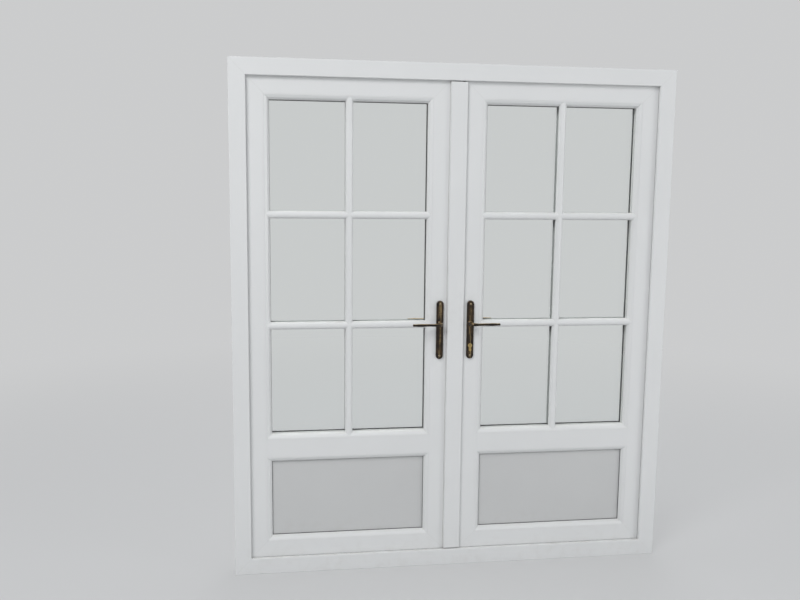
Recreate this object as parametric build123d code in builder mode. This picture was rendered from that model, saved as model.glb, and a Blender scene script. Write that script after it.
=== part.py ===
"""French doors: two glazed leaves in a hollow plastic frame, opening outwards.

Sizes are in millimetres. X runs right as seen from the room, Y outwards, Z up.
The origin is the middle of the frame's underside.
Every leaf piece is drawn for the right leaf, and the left leaf has its mirror image.
"""

import os

from build123d import *

# Frame
OVERALL_WIDTH = 1810
OVERALL_HEIGHT = 2080
FRAME_DEPTH = 70
FRAME_BODY = 46  # from the wall to the rebate
FRAME_FACE = 66  # from the wall to the sight line
REBATE_LEG = 15  # thickness of the leg that the leaves close against
SEAL_GAP = 3
HARDWARE_GAP = 12  # between a leaf's edge and the rebate

# Walls of the hollow sections
WALL = 2.8
WEB = 1.5
BACK_CHAMBER = 5.7
OUTER_CHAMBER = 7
SCREW_CHAMBER = 4
STEEL = 1.5
STEEL_GAP = 0.3
STEEL_END = 90  # from a bar's corner to its steel

# Leaf
LEAF_DEPTH = 70
LEAF_BODY = 75  # from the leaf's edge to the glazing seat
FLANGE = 20  # how far the outer flange runs past the leaf's edge
FLANGE_THICK = 15
GLAZING_LEG = 18
GLAZING_LEG_HEIGHT = 20
LEG_CHAMFER = 10
GROOVE_WIDTH = 16.5
GROOVE_DEPTH = 6
GROOVE_Y = 10  # middle of the hardware groove
MID_RAIL_BODY = 77
MID_RAIL_Z = 528.5

# Glazing
GASKET = 3
GASKET_WIDTH = 10
GASKET_LIP = 1.5  # how far a gasket shows past its bead
UNIT_DEPTH = 28
PANE = 4
UNIT_CLEARANCE = 5
PACKER_LENGTH = 100
PACKER_FROM_CORNER = 60
SPACER_WIDTH = 12
BEAD_HEIGHT = 20
BEAD_SHOULDER = 3
BEAD_NOSE = 5
BEAD_SET_BACK = 0.7
BEAD_JOINT = 0.1
BEAD_FOOT = 3
BEAD_FOOT_GAP = 0.2
BEAD_FOOT_BACK = 9  # from the bead's back to the middle of its foot

# Glazing bars
BAR_BASE = 31
BAR_TOP = 12
BAR_HEIGHT = 9
BAR_EDGE = 1.5
BAR_GAP = 0.5
BAR_SCRIBE = 0.15
BAR_ROWS = 3
CAVITY_BAR = 14
CAVITY_BAR_GAP = 1

# Floating mullion
MULLION_FACE = 70
MULLION_COVER = 9  # how far its face covers each leaf
MULLION_CAP = 10
MULLION_ROUND = 4
MULLION_END_GAP = 4
END_CAP = 4
END_CAP_ROUND = 2.5
STEM_CHAMBER_SPLIT = 25

# Handles
BACKSET = 35
FACEPLATE_DEPTH = 3  # from the leaf's edge to the faceplate
SPINDLE_Z = 1038
CYLINDER_BELOW = 92  # from the spindle to the cylinder
PLATE_ABOVE = 95  # from the spindle to the plate's top
PLATE_BELOW = 56  # from the cylinder to the plate's foot
PLATE_WIDTH = 30
PLATE_THICK = 9
PLATE_ROUND = 3
SCREW_FROM_END = 14
SCREW_R = 2.5
SCREW_HEAD_R = 4.2
SCREW_HEAD = 2.4
SCREW_GAP = 0.3
SPINDLE = 8
SPINDLE_HOLE_R = 6
LEVER_LENGTH = 118
LEVER_STAND_OFF = 36  # from the plate to the lever's middle line
LEVER_BEND = 14  # radius of the bend from the neck into the arm
NECK_R = 8
COLLAR_R = 12
COLLAR = 4
RUNNING_GAP = 0.3

# Lock and gear
STRIP_THICK = 3
STRIP_WIDTH = 16
STRIP_END = 40  # from the leaf's end to the strip
STRIP_ROUND = 4
STRIP_SCREW_R = 3.5
STRIP_SCREW_OFFSET = 16  # from a lock case or the strip's end to a screw
CASE_THICK = 16
CASE_DEPTH = 51
CASE_ABOVE = 62  # from the spindle to the middle case's top
CASE_BELOW = 123
OUTER_CASE = 90
OUTER_CASE_FROM_END = 372
CASE_GAP = 0.5
BOLT_WIDTH = 14
BOLT_HEIGHT = 20
BOLT_LENGTH = 26
BOLT_GAP = 0.3
BOLT_NOSE = 3
BOLT_THROW = 19
DEAD_BOLT_BELOW = 43  # from the spindle to the middle bolt
LATCH_ABOVE = 37
LATCH_HEIGHT = 16
CYLINDER_R = 8.5
CYLINDER_FOOT_R = 5
CYLINDER_HEIGHT = 33
CYLINDER_PROUD = 2
PLUG_R = 6.3
PLUG_LENGTH = 30
PLUG_GAP = 0.2
KEYWAY = (2, 8, 12)
ROD_THICK = 3
ROD_WIDTH = 14
ROD_START = 25  # from the gear case to a shoot bolt's inner end
ROD_END_GAP = 1.6  # past a thrown shoot bolt's tip
KEEP_THICK = 2.5
KEEP_WIDTH = 22
KEEP_LENGTH = 60
KEEP_GAP = 0.6
KEEP_ROUND = 3
KEEP_SCREW_R = 3
KEEP_SCREW_FROM_END = 8
SHOOT_KEEP_LENGTH = 30
SHOOT_KEEP_SCREW_R = 2

# Hinges
HINGE_FROM_EDGE = 34
HINGE_FROM_END = 192
KNUCKLE_R = 8
KNUCKLE_LIFT = 1  # from the leaf's outer face to the knuckle
HINGE_HEIGHT = 100
HINGE_PLATE = 5
FRAME_PLATE_WIDTH = 30
LEAF_PLATE_WIDTH = 52
HINGE_NECK = 10
HINGE_CLEARANCE = 2
HINGE_CORNER = 4
HINGE_EDGE_ROUND = 1.2
PIN_R = 4
PIN_GAP = 0.2
PIN_CAP_R = 6
PIN_CAP = 3
PIN_CAP_ROUND = 1.5

# Fixing holes for the screws into the wall
FIXING_R = 4
FIXING_Y = 0
FIXING_FROM_END = 200
FIXING_ROWS = 4

# Drainage slots through the sill's outer wall
DRAIN_LENGTH = 28
DRAIN_HEIGHT = 5
DRAIN_FROM_END = 220
DRAIN_Z = 12

# Depths through the doors
FRAME_IN = -FRAME_DEPTH / 2
FRAME_OUT = FRAME_DEPTH / 2
LEG_OUT = FRAME_IN + REBATE_LEG
LEAF_IN = LEG_OUT + SEAL_GAP
LEAF_OUT = LEAF_IN + LEAF_DEPTH
LEAF_MID = (LEAF_IN + LEAF_OUT) / 2
FLANGE_IN = LEAF_OUT - FLANGE_THICK
GLAZING_LEG_IN = LEAF_OUT - GLAZING_LEG
UNIT_OUT = GLAZING_LEG_IN - GASKET
UNIT_IN = UNIT_OUT - UNIT_DEPTH
BEAD_BACK = UNIT_IN - GASKET

# The right leaf's edges and its glazing seats
HALF_WIDTH = OVERALL_WIDTH / 2
LEAF_SET_IN = FRAME_BODY + HARDWARE_GAP
LOCK_EDGE = MULLION_FACE / 2 - MULLION_COVER
HINGE_EDGE = HALF_WIDTH - LEAF_SET_IN
LEAF_BOTTOM = LEAF_SET_IN
LEAF_TOP = OVERALL_HEIGHT - LEAF_SET_IN
SEAT_LEFT = LOCK_EDGE + LEAF_BODY
SEAT_RIGHT = HINGE_EDGE - LEAF_BODY
PANEL_SEATS = (SEAT_LEFT, SEAT_RIGHT, LEAF_BOTTOM + LEAF_BODY, MID_RAIL_Z - MID_RAIL_BODY / 2)
GLASS_SEATS = (SEAT_LEFT, SEAT_RIGHT, MID_RAIL_Z + MID_RAIL_BODY / 2, LEAF_TOP - LEAF_BODY)

# Handle and lock
HANDLE_X = LOCK_EDGE + FACEPLATE_DEPTH + BACKSET
CYLINDER_Z = SPINDLE_Z - CYLINDER_BELOW
PLATE_ENDS = (CYLINDER_Z - PLATE_BELOW, SPINDLE_Z + PLATE_ABOVE)
PLATE_SCREWS = (PLATE_ENDS[0] + SCREW_FROM_END, PLATE_ENDS[1] - SCREW_FROM_END)
STRIP_X = LOCK_EDGE + FACEPLATE_DEPTH
GROOVE_FLOOR = LOCK_EDGE + GROOVE_DEPTH
MIDDLE_CASE = (SPINDLE_Z - CASE_BELOW, SPINDLE_Z + CASE_ABOVE)
OUTER_CASES = [
    (middle - OUTER_CASE / 2, middle + OUTER_CASE / 2)
    for middle in (LEAF_BOTTOM + OUTER_CASE_FROM_END, LEAF_TOP - OUTER_CASE_FROM_END)
]
BOLT_HEIGHTS = (
    LEAF_BOTTOM + OUTER_CASE_FROM_END,
    SPINDLE_Z - DEAD_BOLT_BELOW,
    LEAF_TOP - OUTER_CASE_FROM_END,
)
LATCH_Z = SPINDLE_Z + LATCH_ABOVE
STEM_FACE = LOCK_EDGE - HARDWARE_GAP
ROD_X = GROOVE_FLOOR - ROD_THICK / 2 - RUNNING_GAP

# Hinges
HINGE_X = HALF_WIDTH - HINGE_FROM_EDGE
HINGE_Y = LEAF_OUT + KNUCKLE_LIFT + KNUCKLE_R
HINGE_HEIGHTS = (
    LEAF_BOTTOM + HINGE_FROM_END,
    (LEAF_BOTTOM + LEAF_TOP) / 2,
    LEAF_TOP - HINGE_FROM_END,
)

os.makedirs("parts", exist_ok=True)


# Helpers


def save(piece, name, mirrored=False):
    """Labels a piece and writes its STEP file, as its mirror image for the left leaf."""
    part = mirror(piece.part, about=Plane.YZ) if mirrored else piece.part
    part.label = name
    export_step(part, f"parts/{name}.step")


def save_pair(piece, name):
    """Writes a piece that both leaves have."""
    save(piece, f"right_{name}")
    save(piece, f"left_{name}", mirrored=True)


def facade(y):
    """The upright plane at this depth, seen from the room, facing the room."""
    return Plane.XZ.offset(-y)


def outline(*corners):
    """A closed outline from (x, y, corner radius), filled."""
    with BuildLine() as border:
        FilletPolyline(
            *[(x, y) for x, y, _ in corners], radius=[r for _, _, r in corners], close=True
        )
    make_face(border.edges())


def chamber(x0, x1, y0, y1):
    """Cuts one hollow chamber out of the section being drawn."""
    with Locations(((x0 + x1) / 2, (y0 + y1) / 2)):
        Rectangle(x1 - x0, y1 - y0, mode=Mode.SUBTRACT)


def frame_area(seats, outer, inner):
    """A rectangular ring on a facade plane, set in from the seats by two distances."""
    left, right, bottom, top = seats
    with Locations(((left + right) / 2, (bottom + top) / 2)):
        Rectangle(right - left - 2 * outer, top - bottom - 2 * outer)
        Rectangle(right - left - 2 * inner, top - bottom - 2 * inner, mode=Mode.SUBTRACT)


def block(x, y, z, mode=Mode.ADD):
    """A box between two values on each axis."""
    with Locations((sum(x) / 2, sum(y) / 2, sum(z) / 2)):
        Box(x[1] - x[0], y[1] - y[0], z[1] - z[0], mode=mode)


def runs(left, right, bottom, top):
    """The four sides of a rectangle as (start, end): left, top, right and bottom."""
    corners = [Vector(left, 0, bottom), Vector(left, 0, top)]
    corners += [Vector(right, 0, top), Vector(right, 0, bottom)]
    return [(corners[i], corners[(i + 1) % 4]) for i in range(4)]


def section_plane(start, along):
    """A plane across a bar: x into the opening, y outwards."""
    return Plane(start, x_dir=Vector(0, 1, 0).cross(along), z_dir=along)


def mitred_bar(section, start, end, joint=0):
    """A bar between two corners of a rectangle, cut at 45 degrees at both."""
    along = (end - start).normalized()
    inward = Vector(0, 1, 0).cross(along)
    overrun = 2 * FLANGE
    with BuildPart() as bar:
        with BuildSketch(section_plane(start - along * overrun, along)):
            section()
        extrude(amount=(end - start).length + 2 * overrun)
        split(bisect_by=Plane(start + along * joint, z_dir=along - inward), keep=Keep.TOP)
        split(bisect_by=Plane(end - along * joint, z_dir=-along - inward), keep=Keep.TOP)
    return bar.part


def straight_bar(section, start, end, set_back):
    """A bar cut square, its ends set back from two corners."""
    along = (end - start).normalized()
    with BuildPart() as bar:
        with BuildSketch(section_plane(start + along * set_back, along)):
            section()
        extrude(amount=(end - start).length - 2 * set_back)
    return bar.part


# Sections, drawn with x from the bar's outer edge and y outwards


def frame_section():
    outline(
        (0, FRAME_IN, 1),
        (FRAME_FACE, FRAME_IN, 3),
        (FRAME_FACE, LEG_OUT, 1),
        (FRAME_BODY, LEG_OUT, 0),
        (FRAME_BODY, FRAME_OUT, 1),
        (0, FRAME_OUT, 1),
    )
    y_leg = LEG_OUT - WALL
    y_steel, y_out = y_leg + WEB, FRAME_OUT - WALL
    x_rebate = FRAME_BODY - WALL - SCREW_CHAMBER - WEB
    x_back = WALL + BACK_CHAMBER
    chamber(WALL, x_rebate, FRAME_IN + WALL, y_leg)
    chamber(x_rebate + WEB, FRAME_FACE - WALL, FRAME_IN + WALL, y_leg)
    chamber(WALL, x_back, y_steel, y_out - OUTER_CHAMBER - WEB)
    chamber(x_back + WEB, x_rebate, y_steel, y_out - OUTER_CHAMBER - WEB)
    chamber(x_rebate + WEB, FRAME_BODY - WALL, y_steel, y_out - OUTER_CHAMBER - WEB)
    chamber(WALL, FRAME_BODY - WALL, y_out - OUTER_CHAMBER, y_out)


def frame_steel_section():
    x0 = WALL + BACK_CHAMBER + WEB + STEEL_GAP
    x1 = FRAME_BODY - WALL - SCREW_CHAMBER - WEB - STEEL_GAP
    y0 = LEG_OUT - WALL + WEB + STEEL_GAP
    y1 = FRAME_OUT - WALL - OUTER_CHAMBER - WEB - STEEL_GAP
    with Locations(((x0 + x1) / 2, (y0 + y1) / 2)):
        Rectangle(x1 - x0, y1 - y0)
        Rectangle(x1 - x0 - 2 * STEEL, y1 - y0 - 2 * STEEL, mode=Mode.SUBTRACT)


LEAF_CHAMBER_X = (GROOVE_DEPTH + 2 * WALL, LEAF_BODY - 2 * OUTER_CHAMBER - WEB)
LEAF_CHAMBER_Y = (LEAF_IN + WALL + SCREW_CHAMBER + WEB, FLANGE_IN - OUTER_CHAMBER)
FOOT_Y = BEAD_BACK - BEAD_FOOT_BACK


def leaf_section():
    groove = (GROOVE_Y - GROOVE_WIDTH / 2, GROOVE_Y + GROOVE_WIDTH / 2)
    leg_end = LEAF_BODY + GLAZING_LEG_HEIGHT
    outline(
        (0, LEAF_IN, 1),
        (LEAF_BODY, LEAF_IN, 0.5),
        (LEAF_BODY, GLAZING_LEG_IN, 0),
        (leg_end, GLAZING_LEG_IN, 0.5),
        (leg_end, LEAF_OUT - LEG_CHAMFER, 1),
        (leg_end - LEG_CHAMFER, LEAF_OUT, 2),
        (-FLANGE, LEAF_OUT, 2),
        (-FLANGE, FLANGE_IN, 0.5),
        (0, FLANGE_IN, 0),
        (0, groove[1], 0),
        (GROOVE_DEPTH, groove[1], 0),
        (GROOVE_DEPTH, groove[0], 0),
        (0, groove[0], 0),
    )
    foot = BEAD_FOOT / 2 + BEAD_FOOT_GAP
    chamber(LEAF_BODY - BEAD_FOOT - BEAD_FOOT_GAP, LEAF_BODY, FOOT_Y - foot, FOOT_Y + foot)
    x_foot = LEAF_BODY - BEAD_FOOT - BEAD_FOOT_GAP - WALL
    chamber(WALL, x_foot, LEAF_IN + WALL, LEAF_IN + WALL + SCREW_CHAMBER)
    chamber(*LEAF_CHAMBER_X, *LEAF_CHAMBER_Y)
    chamber(LEAF_CHAMBER_X[1] + WEB, x_foot, *LEAF_CHAMBER_Y)
    chamber(WALL, LEAF_BODY / 2, LEAF_CHAMBER_Y[1] + WEB, LEAF_OUT - WALL)
    chamber(LEAF_BODY / 2 + WEB, LEAF_BODY - WALL, LEAF_CHAMBER_Y[1] + WEB, LEAF_OUT - WALL)
    chamber(WALL - FLANGE, WALL - WEB, FLANGE_IN + WALL, LEAF_OUT - WALL)
    chamber(LEAF_BODY, leg_end - LEG_CHAMFER - WEB, GLAZING_LEG_IN + WALL, LEAF_OUT - WALL)


def leaf_steel_section():
    """A channel, open towards the leaf's edge so that the lock's cases fit in it."""
    x0, x1 = LEAF_CHAMBER_X[0] + STEEL_GAP, LEAF_CHAMBER_X[1] - STEEL_GAP
    y0, y1 = LEAF_CHAMBER_Y[0] + STEEL_GAP, LEAF_CHAMBER_Y[1] - STEEL_GAP
    with Locations(((x0 + x1) / 2, (y0 + y1) / 2)):
        Rectangle(x1 - x0, y1 - y0)
    chamber(x0, x1 - STEEL, y0 + STEEL, y1 - STEEL)


def mid_rail_section():
    """Drawn about the rail's middle, with a glazing leg on both sides."""
    half, leg_end = MID_RAIL_BODY / 2, MID_RAIL_BODY / 2 + GLAZING_LEG_HEIGHT
    outline(
        (-half, LEAF_IN, 0.5),
        (half, LEAF_IN, 0.5),
        (half, GLAZING_LEG_IN, 0),
        (leg_end, GLAZING_LEG_IN, 0.5),
        (leg_end, LEAF_OUT - LEG_CHAMFER, 1),
        (leg_end - LEG_CHAMFER, LEAF_OUT, 2),
        (-leg_end + LEG_CHAMFER, LEAF_OUT, 2),
        (-leg_end, LEAF_OUT - LEG_CHAMFER, 1),
        (-leg_end, GLAZING_LEG_IN, 0.5),
        (-half, GLAZING_LEG_IN, 0),
    )
    foot = BEAD_FOOT / 2 + BEAD_FOOT_GAP
    depth = BEAD_FOOT + BEAD_FOOT_GAP
    chamber(half - depth, half, FOOT_Y - foot, FOOT_Y + foot)
    chamber(-half, depth - half, FOOT_Y - foot, FOOT_Y + foot)
    x_foot = half - depth - WALL
    chamber(-x_foot, x_foot, LEAF_IN + WALL, LEAF_IN + WALL + SCREW_CHAMBER)
    chamber(-x_foot, x_foot, *LEAF_CHAMBER_Y)
    chamber(-half + WALL, half - WALL, LEAF_CHAMBER_Y[1] + WEB, LEAF_OUT - WALL)


def bead_section():
    """Drawn from the glazing seat. The nose slopes to the glass and the foot snaps in."""
    front = LEAF_IN + BEAD_SET_BACK
    foot = (FOOT_Y - BEAD_FOOT / 2, FOOT_Y + BEAD_FOOT / 2)
    outline(
        (0, front, 0.5),
        (BEAD_SHOULDER, front, 2),
        (BEAD_HEIGHT, BEAD_BACK - BEAD_NOSE, 1.5),
        (BEAD_HEIGHT, BEAD_BACK, 0),
        (0, BEAD_BACK, 0),
        (0, foot[1], 0),
        (-BEAD_FOOT, foot[1], 0),
        (-BEAD_FOOT, foot[0], 0),
        (0, foot[0], 0),
    )


def glazing_bar_section(spare=0):
    """Drawn across the bar from the face of the glass. The spare is a scribing gap."""
    outline(
        (-BAR_BASE / 2 - spare, 0, 0),
        (-BAR_BASE / 2 - spare, BAR_EDGE, 0),
        (-BAR_TOP / 2 - spare, BAR_HEIGHT + spare, 0),
        (BAR_TOP / 2 + spare, BAR_HEIGHT + spare, 0),
        (BAR_BASE / 2 + spare, BAR_EDGE, 0),
        (BAR_BASE / 2 + spare, 0, 0),
    )


def mullion_outline():
    """Drawn in plan: a face bar that covers both leaves, and a stem between them."""
    face = LEG_OUT - MULLION_CAP
    outline(
        (-MULLION_FACE / 2, face, MULLION_ROUND),
        (MULLION_FACE / 2, face, MULLION_ROUND),
        (MULLION_FACE / 2, LEG_OUT, 1),
        (STEM_FACE, LEG_OUT, 0),
        (STEM_FACE, FRAME_OUT, 1),
        (-LOCK_EDGE, FRAME_OUT, 1),
        (-LOCK_EDGE, LEAF_IN, 0),
        (-MULLION_FACE / 2, LEAF_IN, 1),
    )


def euro_profile(spare=0):
    """The lock cylinder's outline on a facade plane, about the handle's line."""
    drop = CYLINDER_HEIGHT - CYLINDER_R - CYLINDER_FOOT_R
    with Locations((HANDLE_X, CYLINDER_Z)):
        Circle(CYLINDER_R + spare)
    with Locations((HANDLE_X, CYLINDER_Z - drop / 2)):
        Rectangle(2 * CYLINDER_FOOT_R + 2 * spare, drop)
    with Locations((HANDLE_X, CYLINDER_Z - drop)):
        Circle(CYLINDER_FOOT_R + spare)


def cut_for_handle(spare, has_cylinder):
    """Bores the piece being built for the spindle, the screws and the cylinder."""
    with BuildSketch(facade(LEAF_OUT + PLATE_THICK)) as bores:
        with Locations((HANDLE_X, SPINDLE_Z)):
            Circle(SPINDLE_HOLE_R + spare)
        with Locations(*[(HANDLE_X, z) for z in PLATE_SCREWS]):
            Circle(SCREW_R + SCREW_GAP + spare)
        if has_cylinder:
            euro_profile(spare)
    extrude(bores.sketch, amount=LEAF_DEPTH + 2 * PLATE_THICK, mode=Mode.SUBTRACT)


# Outer frame

fixing_step = (OVERALL_HEIGHT - 2 * FIXING_FROM_END) / (FIXING_ROWS - 1)
fixing_heights = [FIXING_FROM_END + i * fixing_step for i in range(FIXING_ROWS)]
frame_runs = runs(-HALF_WIDTH, HALF_WIDTH, 0, OVERALL_HEIGHT)
frame_bars = [mitred_bar(frame_section, *run) for run in frame_runs]
steel_bars = [straight_bar(frame_steel_section, *run, STEEL_END) for run in frame_runs]


def cut_fixing_holes():
    """Bores both jambs for the screws into the wall."""
    with BuildSketch(Plane.YZ.offset(-HALF_WIDTH)) as bores:
        with Locations(*[(FIXING_Y, z) for z in fixing_heights]):
            Circle(FIXING_R)
    extrude(bores.sketch, amount=OVERALL_WIDTH, mode=Mode.SUBTRACT)


def cut_shoot_bolt_holes():
    """Slots in the rebate of the head and sill for the left leaf's shoot bolts."""
    reach = FRAME_BODY - (BOLT_THROW - HARDWARE_GAP) - ROD_END_GAP
    half = ROD_THICK / 2 + KEEP_GAP
    y = (GROOVE_Y - ROD_WIDTH / 2 - KEEP_GAP, GROOVE_Y + ROD_WIDTH / 2 + KEEP_GAP)
    for z in ((reach, FRAME_BODY), (OVERALL_HEIGHT - FRAME_BODY, OVERALL_HEIGHT - reach)):
        block((-ROD_X - half, -ROD_X + half), y, z, Mode.SUBTRACT)


with BuildPart() as left_jamb:
    add(frame_bars[0])
    cut_fixing_holes()
save(left_jamb, "frame_left_jamb")

with BuildPart() as head:
    add(frame_bars[1])
    cut_shoot_bolt_holes()
save(head, "frame_head")

with BuildPart() as right_jamb:
    add(frame_bars[2])
    cut_fixing_holes()
save(right_jamb, "frame_right_jamb")

with BuildPart() as sill:
    add(frame_bars[3])
    cut_shoot_bolt_holes()
    for x in (-HALF_WIDTH + DRAIN_FROM_END, 0, HALF_WIDTH - DRAIN_FROM_END):
        with BuildSketch(facade(FRAME_OUT)):
            with Locations((x, DRAIN_Z)):
                SlotOverall(DRAIN_LENGTH, DRAIN_HEIGHT)
        extrude(amount=WALL + OUTER_CHAMBER / 2, mode=Mode.SUBTRACT)
save(sill, "frame_sill")

with BuildPart() as frame_steel:
    for bar in steel_bars:
        add(bar)
    cut_fixing_holes()
save(frame_steel, "frame_steel")

frame_edges = (-HALF_WIDTH, HALF_WIDTH, 0, OVERALL_HEIGHT)
with BuildPart() as frame_seal:
    with BuildSketch(facade(LEAF_IN)):
        frame_area(frame_edges, LEAF_SET_IN + 1, FRAME_FACE - 1)
    extrude(amount=SEAL_GAP)
save(frame_seal, "frame_seal")

with BuildPart() as shoot_bolt_keeps:
    slot = ROD_THICK + 2 * KEEP_GAP
    screw_offset = (KEEP_WIDTH + slot) / 4
    for z in (FRAME_BODY, OVERALL_HEIGHT - FRAME_BODY - KEEP_THICK):
        with BuildSketch(Plane.XY.offset(z)):
            with Locations((-ROD_X, GROOVE_Y)):
                RectangleRounded(KEEP_WIDTH, SHOOT_KEEP_LENGTH, KEEP_ROUND)
                Rectangle(slot, ROD_WIDTH + 2 * KEEP_GAP, mode=Mode.SUBTRACT)
            with Locations(*[(-ROD_X + x, GROOVE_Y) for x in (-screw_offset, screw_offset)]):
                Circle(SHOOT_KEEP_SCREW_R, mode=Mode.SUBTRACT)
        extrude(amount=KEEP_THICK)
save(shoot_bolt_keeps, "shoot_bolt_keeps")


# Leaf profiles

leaf_edges = (LOCK_EDGE, HINGE_EDGE, LEAF_BOTTOM, LEAF_TOP)
leaf_runs = runs(*leaf_edges)
leaf_bars = [mitred_bar(leaf_section, *run) for run in leaf_runs]
leaf_steel_bars = [straight_bar(leaf_steel_section, *run, STEEL_END) for run in leaf_runs]

for bar, name in zip(leaf_bars[1:], ("top_rail", "hinge_stile", "bottom_rail")):
    with BuildPart() as rail:
        add(bar)
    save_pair(rail, name)


def stile_leg():
    """The stile's glazing leg in plan, from its seat. The mid rail's end is cut to fit over it."""
    outline(
        (0, GLAZING_LEG_IN, 0),
        (GLAZING_LEG_HEIGHT, GLAZING_LEG_IN, 0),
        (GLAZING_LEG_HEIGHT, LEAF_OUT - LEG_CHAMFER, 0),
        (GLAZING_LEG_HEIGHT - LEG_CHAMFER, LEAF_OUT, 0),
        (GLAZING_LEG_HEIGHT - LEG_CHAMFER, LEAF_OUT + WALL, 0),
        (0, LEAF_OUT + WALL, 0),
    )


with BuildPart() as mid_rail:
    with BuildSketch(section_plane(Vector(SEAT_RIGHT, 0, MID_RAIL_Z), Vector(-1, 0, 0))):
        mid_rail_section()
    extrude(amount=SEAT_RIGHT - SEAT_LEFT)
    half = MID_RAIL_BODY / 2 + GLAZING_LEG_HEIGHT
    for seat, side in ((SEAT_LEFT, 1), (SEAT_RIGHT, -1)):
        foot = (seat, 0, MID_RAIL_Z - side * half)
        with BuildSketch(Plane(foot, x_dir=(side, 0, 0), z_dir=(0, 0, side))):
            stile_leg()
        extrude(amount=2 * half, mode=Mode.SUBTRACT)
save_pair(mid_rail, "mid_rail")


def cut_case_pocket(heights):
    """Routs the lock stile for one lock case."""
    half = CASE_THICK / 2 + CASE_GAP
    block(
        (LOCK_EDGE, GROOVE_FLOOR + CASE_DEPTH - STRIP_THICK + CASE_GAP),
        (GROOVE_Y - half, GROOVE_Y + half),
        (heights[0] - CASE_GAP, heights[1] + CASE_GAP),
        Mode.SUBTRACT,
    )


with BuildPart() as right_lock_stile:
    add(leaf_bars[0])
    cut_for_handle(1, has_cylinder=True)
    for case in (MIDDLE_CASE, *OUTER_CASES):
        cut_case_pocket(case)
save(right_lock_stile, "right_lock_stile")

with BuildPart() as left_lock_stile:
    add(leaf_bars[0])
    cut_for_handle(1, has_cylinder=False)
    cut_case_pocket(MIDDLE_CASE)
save(left_lock_stile, "left_lock_stile", mirrored=True)

with BuildPart() as right_steel:
    for bar in leaf_steel_bars:
        add(bar)
    cut_for_handle(1, has_cylinder=True)
save(right_steel, "right_steel")

with BuildPart() as left_steel:
    for bar in leaf_steel_bars:
        add(bar)
    cut_for_handle(1, has_cylinder=False)
save(left_steel, "left_steel", mirrored=True)

with BuildPart() as flange_seal:
    with BuildSketch(facade(FLANGE_IN)):
        frame_area(leaf_edges, SEAL_GAP - FLANGE, -HARDWARE_GAP)
    extrude(amount=SEAL_GAP)
save_pair(flange_seal, "flange_seal")


# Glazing

with BuildPart() as panes:
    for face in (UNIT_OUT, UNIT_IN + PANE):
        with BuildSketch(facade(face)):
            left, right, bottom, top = GLASS_SEATS
            with Locations(((left + right) / 2, (bottom + top) / 2)):
                Rectangle(right - left - 2 * UNIT_CLEARANCE, top - bottom - 2 * UNIT_CLEARANCE)
        extrude(amount=PANE)
save_pair(panes, "panes")

with BuildPart() as panel:
    with BuildSketch(facade(UNIT_OUT)):
        left, right, bottom, top = PANEL_SEATS
        with Locations(((left + right) / 2, (bottom + top) / 2)):
            Rectangle(right - left - 2 * UNIT_CLEARANCE, top - bottom - 2 * UNIT_CLEARANCE)
    extrude(amount=UNIT_DEPTH)
save_pair(panel, "panel")

with BuildPart() as packers:
    for seats in (GLASS_SEATS, PANEL_SEATS):
        left, right, bottom, _ = seats
        for x in (left + PACKER_FROM_CORNER, right - PACKER_FROM_CORNER - PACKER_LENGTH):
            block((x, x + PACKER_LENGTH), (UNIT_IN, UNIT_OUT), (bottom, bottom + UNIT_CLEARANCE))
save_pair(packers, "packers")

glass_beads = [mitred_bar(bead_section, *run, BEAD_JOINT) for run in runs(*GLASS_SEATS)]
panel_beads = [mitred_bar(bead_section, *run, BEAD_JOINT) for run in runs(*PANEL_SEATS)]
with BuildPart() as beads:
    for bead in glass_beads + panel_beads:
        add(bead)
save_pair(beads, "beads")

GASKET_INNER = BEAD_HEIGHT + GASKET_LIP
with BuildPart() as gaskets:
    for face in (UNIT_IN, GLAZING_LEG_IN):
        with BuildSketch(facade(face)):
            for seats in (GLASS_SEATS, PANEL_SEATS):
                frame_area(seats, GASKET_INNER - GASKET_WIDTH, GASKET_INNER)
        extrude(amount=GASKET)
save_pair(gaskets, "gaskets")

# The bars divide the sight size of the glass evenly
BAR_X = (SEAT_LEFT + SEAT_RIGHT) / 2
SIGHT_BOTTOM = GLASS_SEATS[2] + BEAD_HEIGHT
SIGHT_TOP = GLASS_SEATS[3] - BEAD_HEIGHT
row_step = (SIGHT_TOP - SIGHT_BOTTOM) / BAR_ROWS
row_heights = [SIGHT_BOTTOM + i * row_step for i in range(1, BAR_ROWS)]
bar_end = GASKET_INNER + BAR_GAP


def glazing_bar(start, end, outward, spare=0):
    """A bar on one face of the glass unit. Outward is 1 outside and -1 in the room."""
    along = (end - start).normalized()
    across = Vector(0, outward, 0).cross(along)
    with BuildPart() as bar:
        with BuildSketch(Plane(start, x_dir=across, z_dir=along)):
            glazing_bar_section(spare)
        extrude(amount=(end - start).length)
    return bar.part


bar_pieces = []
for face, outward in ((UNIT_IN, -1), (UNIT_OUT, 1)):
    foot = Vector(BAR_X, face, GLASS_SEATS[2] + bar_end)
    tip = Vector(BAR_X, face, GLASS_SEATS[3] - bar_end)
    scribe = glazing_bar(foot, tip, outward, BAR_SCRIBE)
    rows = [
        glazing_bar(
            Vector(SEAT_LEFT + bar_end, face, z), Vector(SEAT_RIGHT - bar_end, face, z), outward
        )
        for z in row_heights
    ]
    with BuildPart() as across_bars:
        for row in rows:
            add(row)
        add(scribe, mode=Mode.SUBTRACT)
    bar_pieces += [glazing_bar(foot, tip, outward), across_bars.part]

with BuildPart() as glazing_bars:
    for piece in bar_pieces:
        add(piece)
save_pair(glazing_bars, "glazing_bars")

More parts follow.
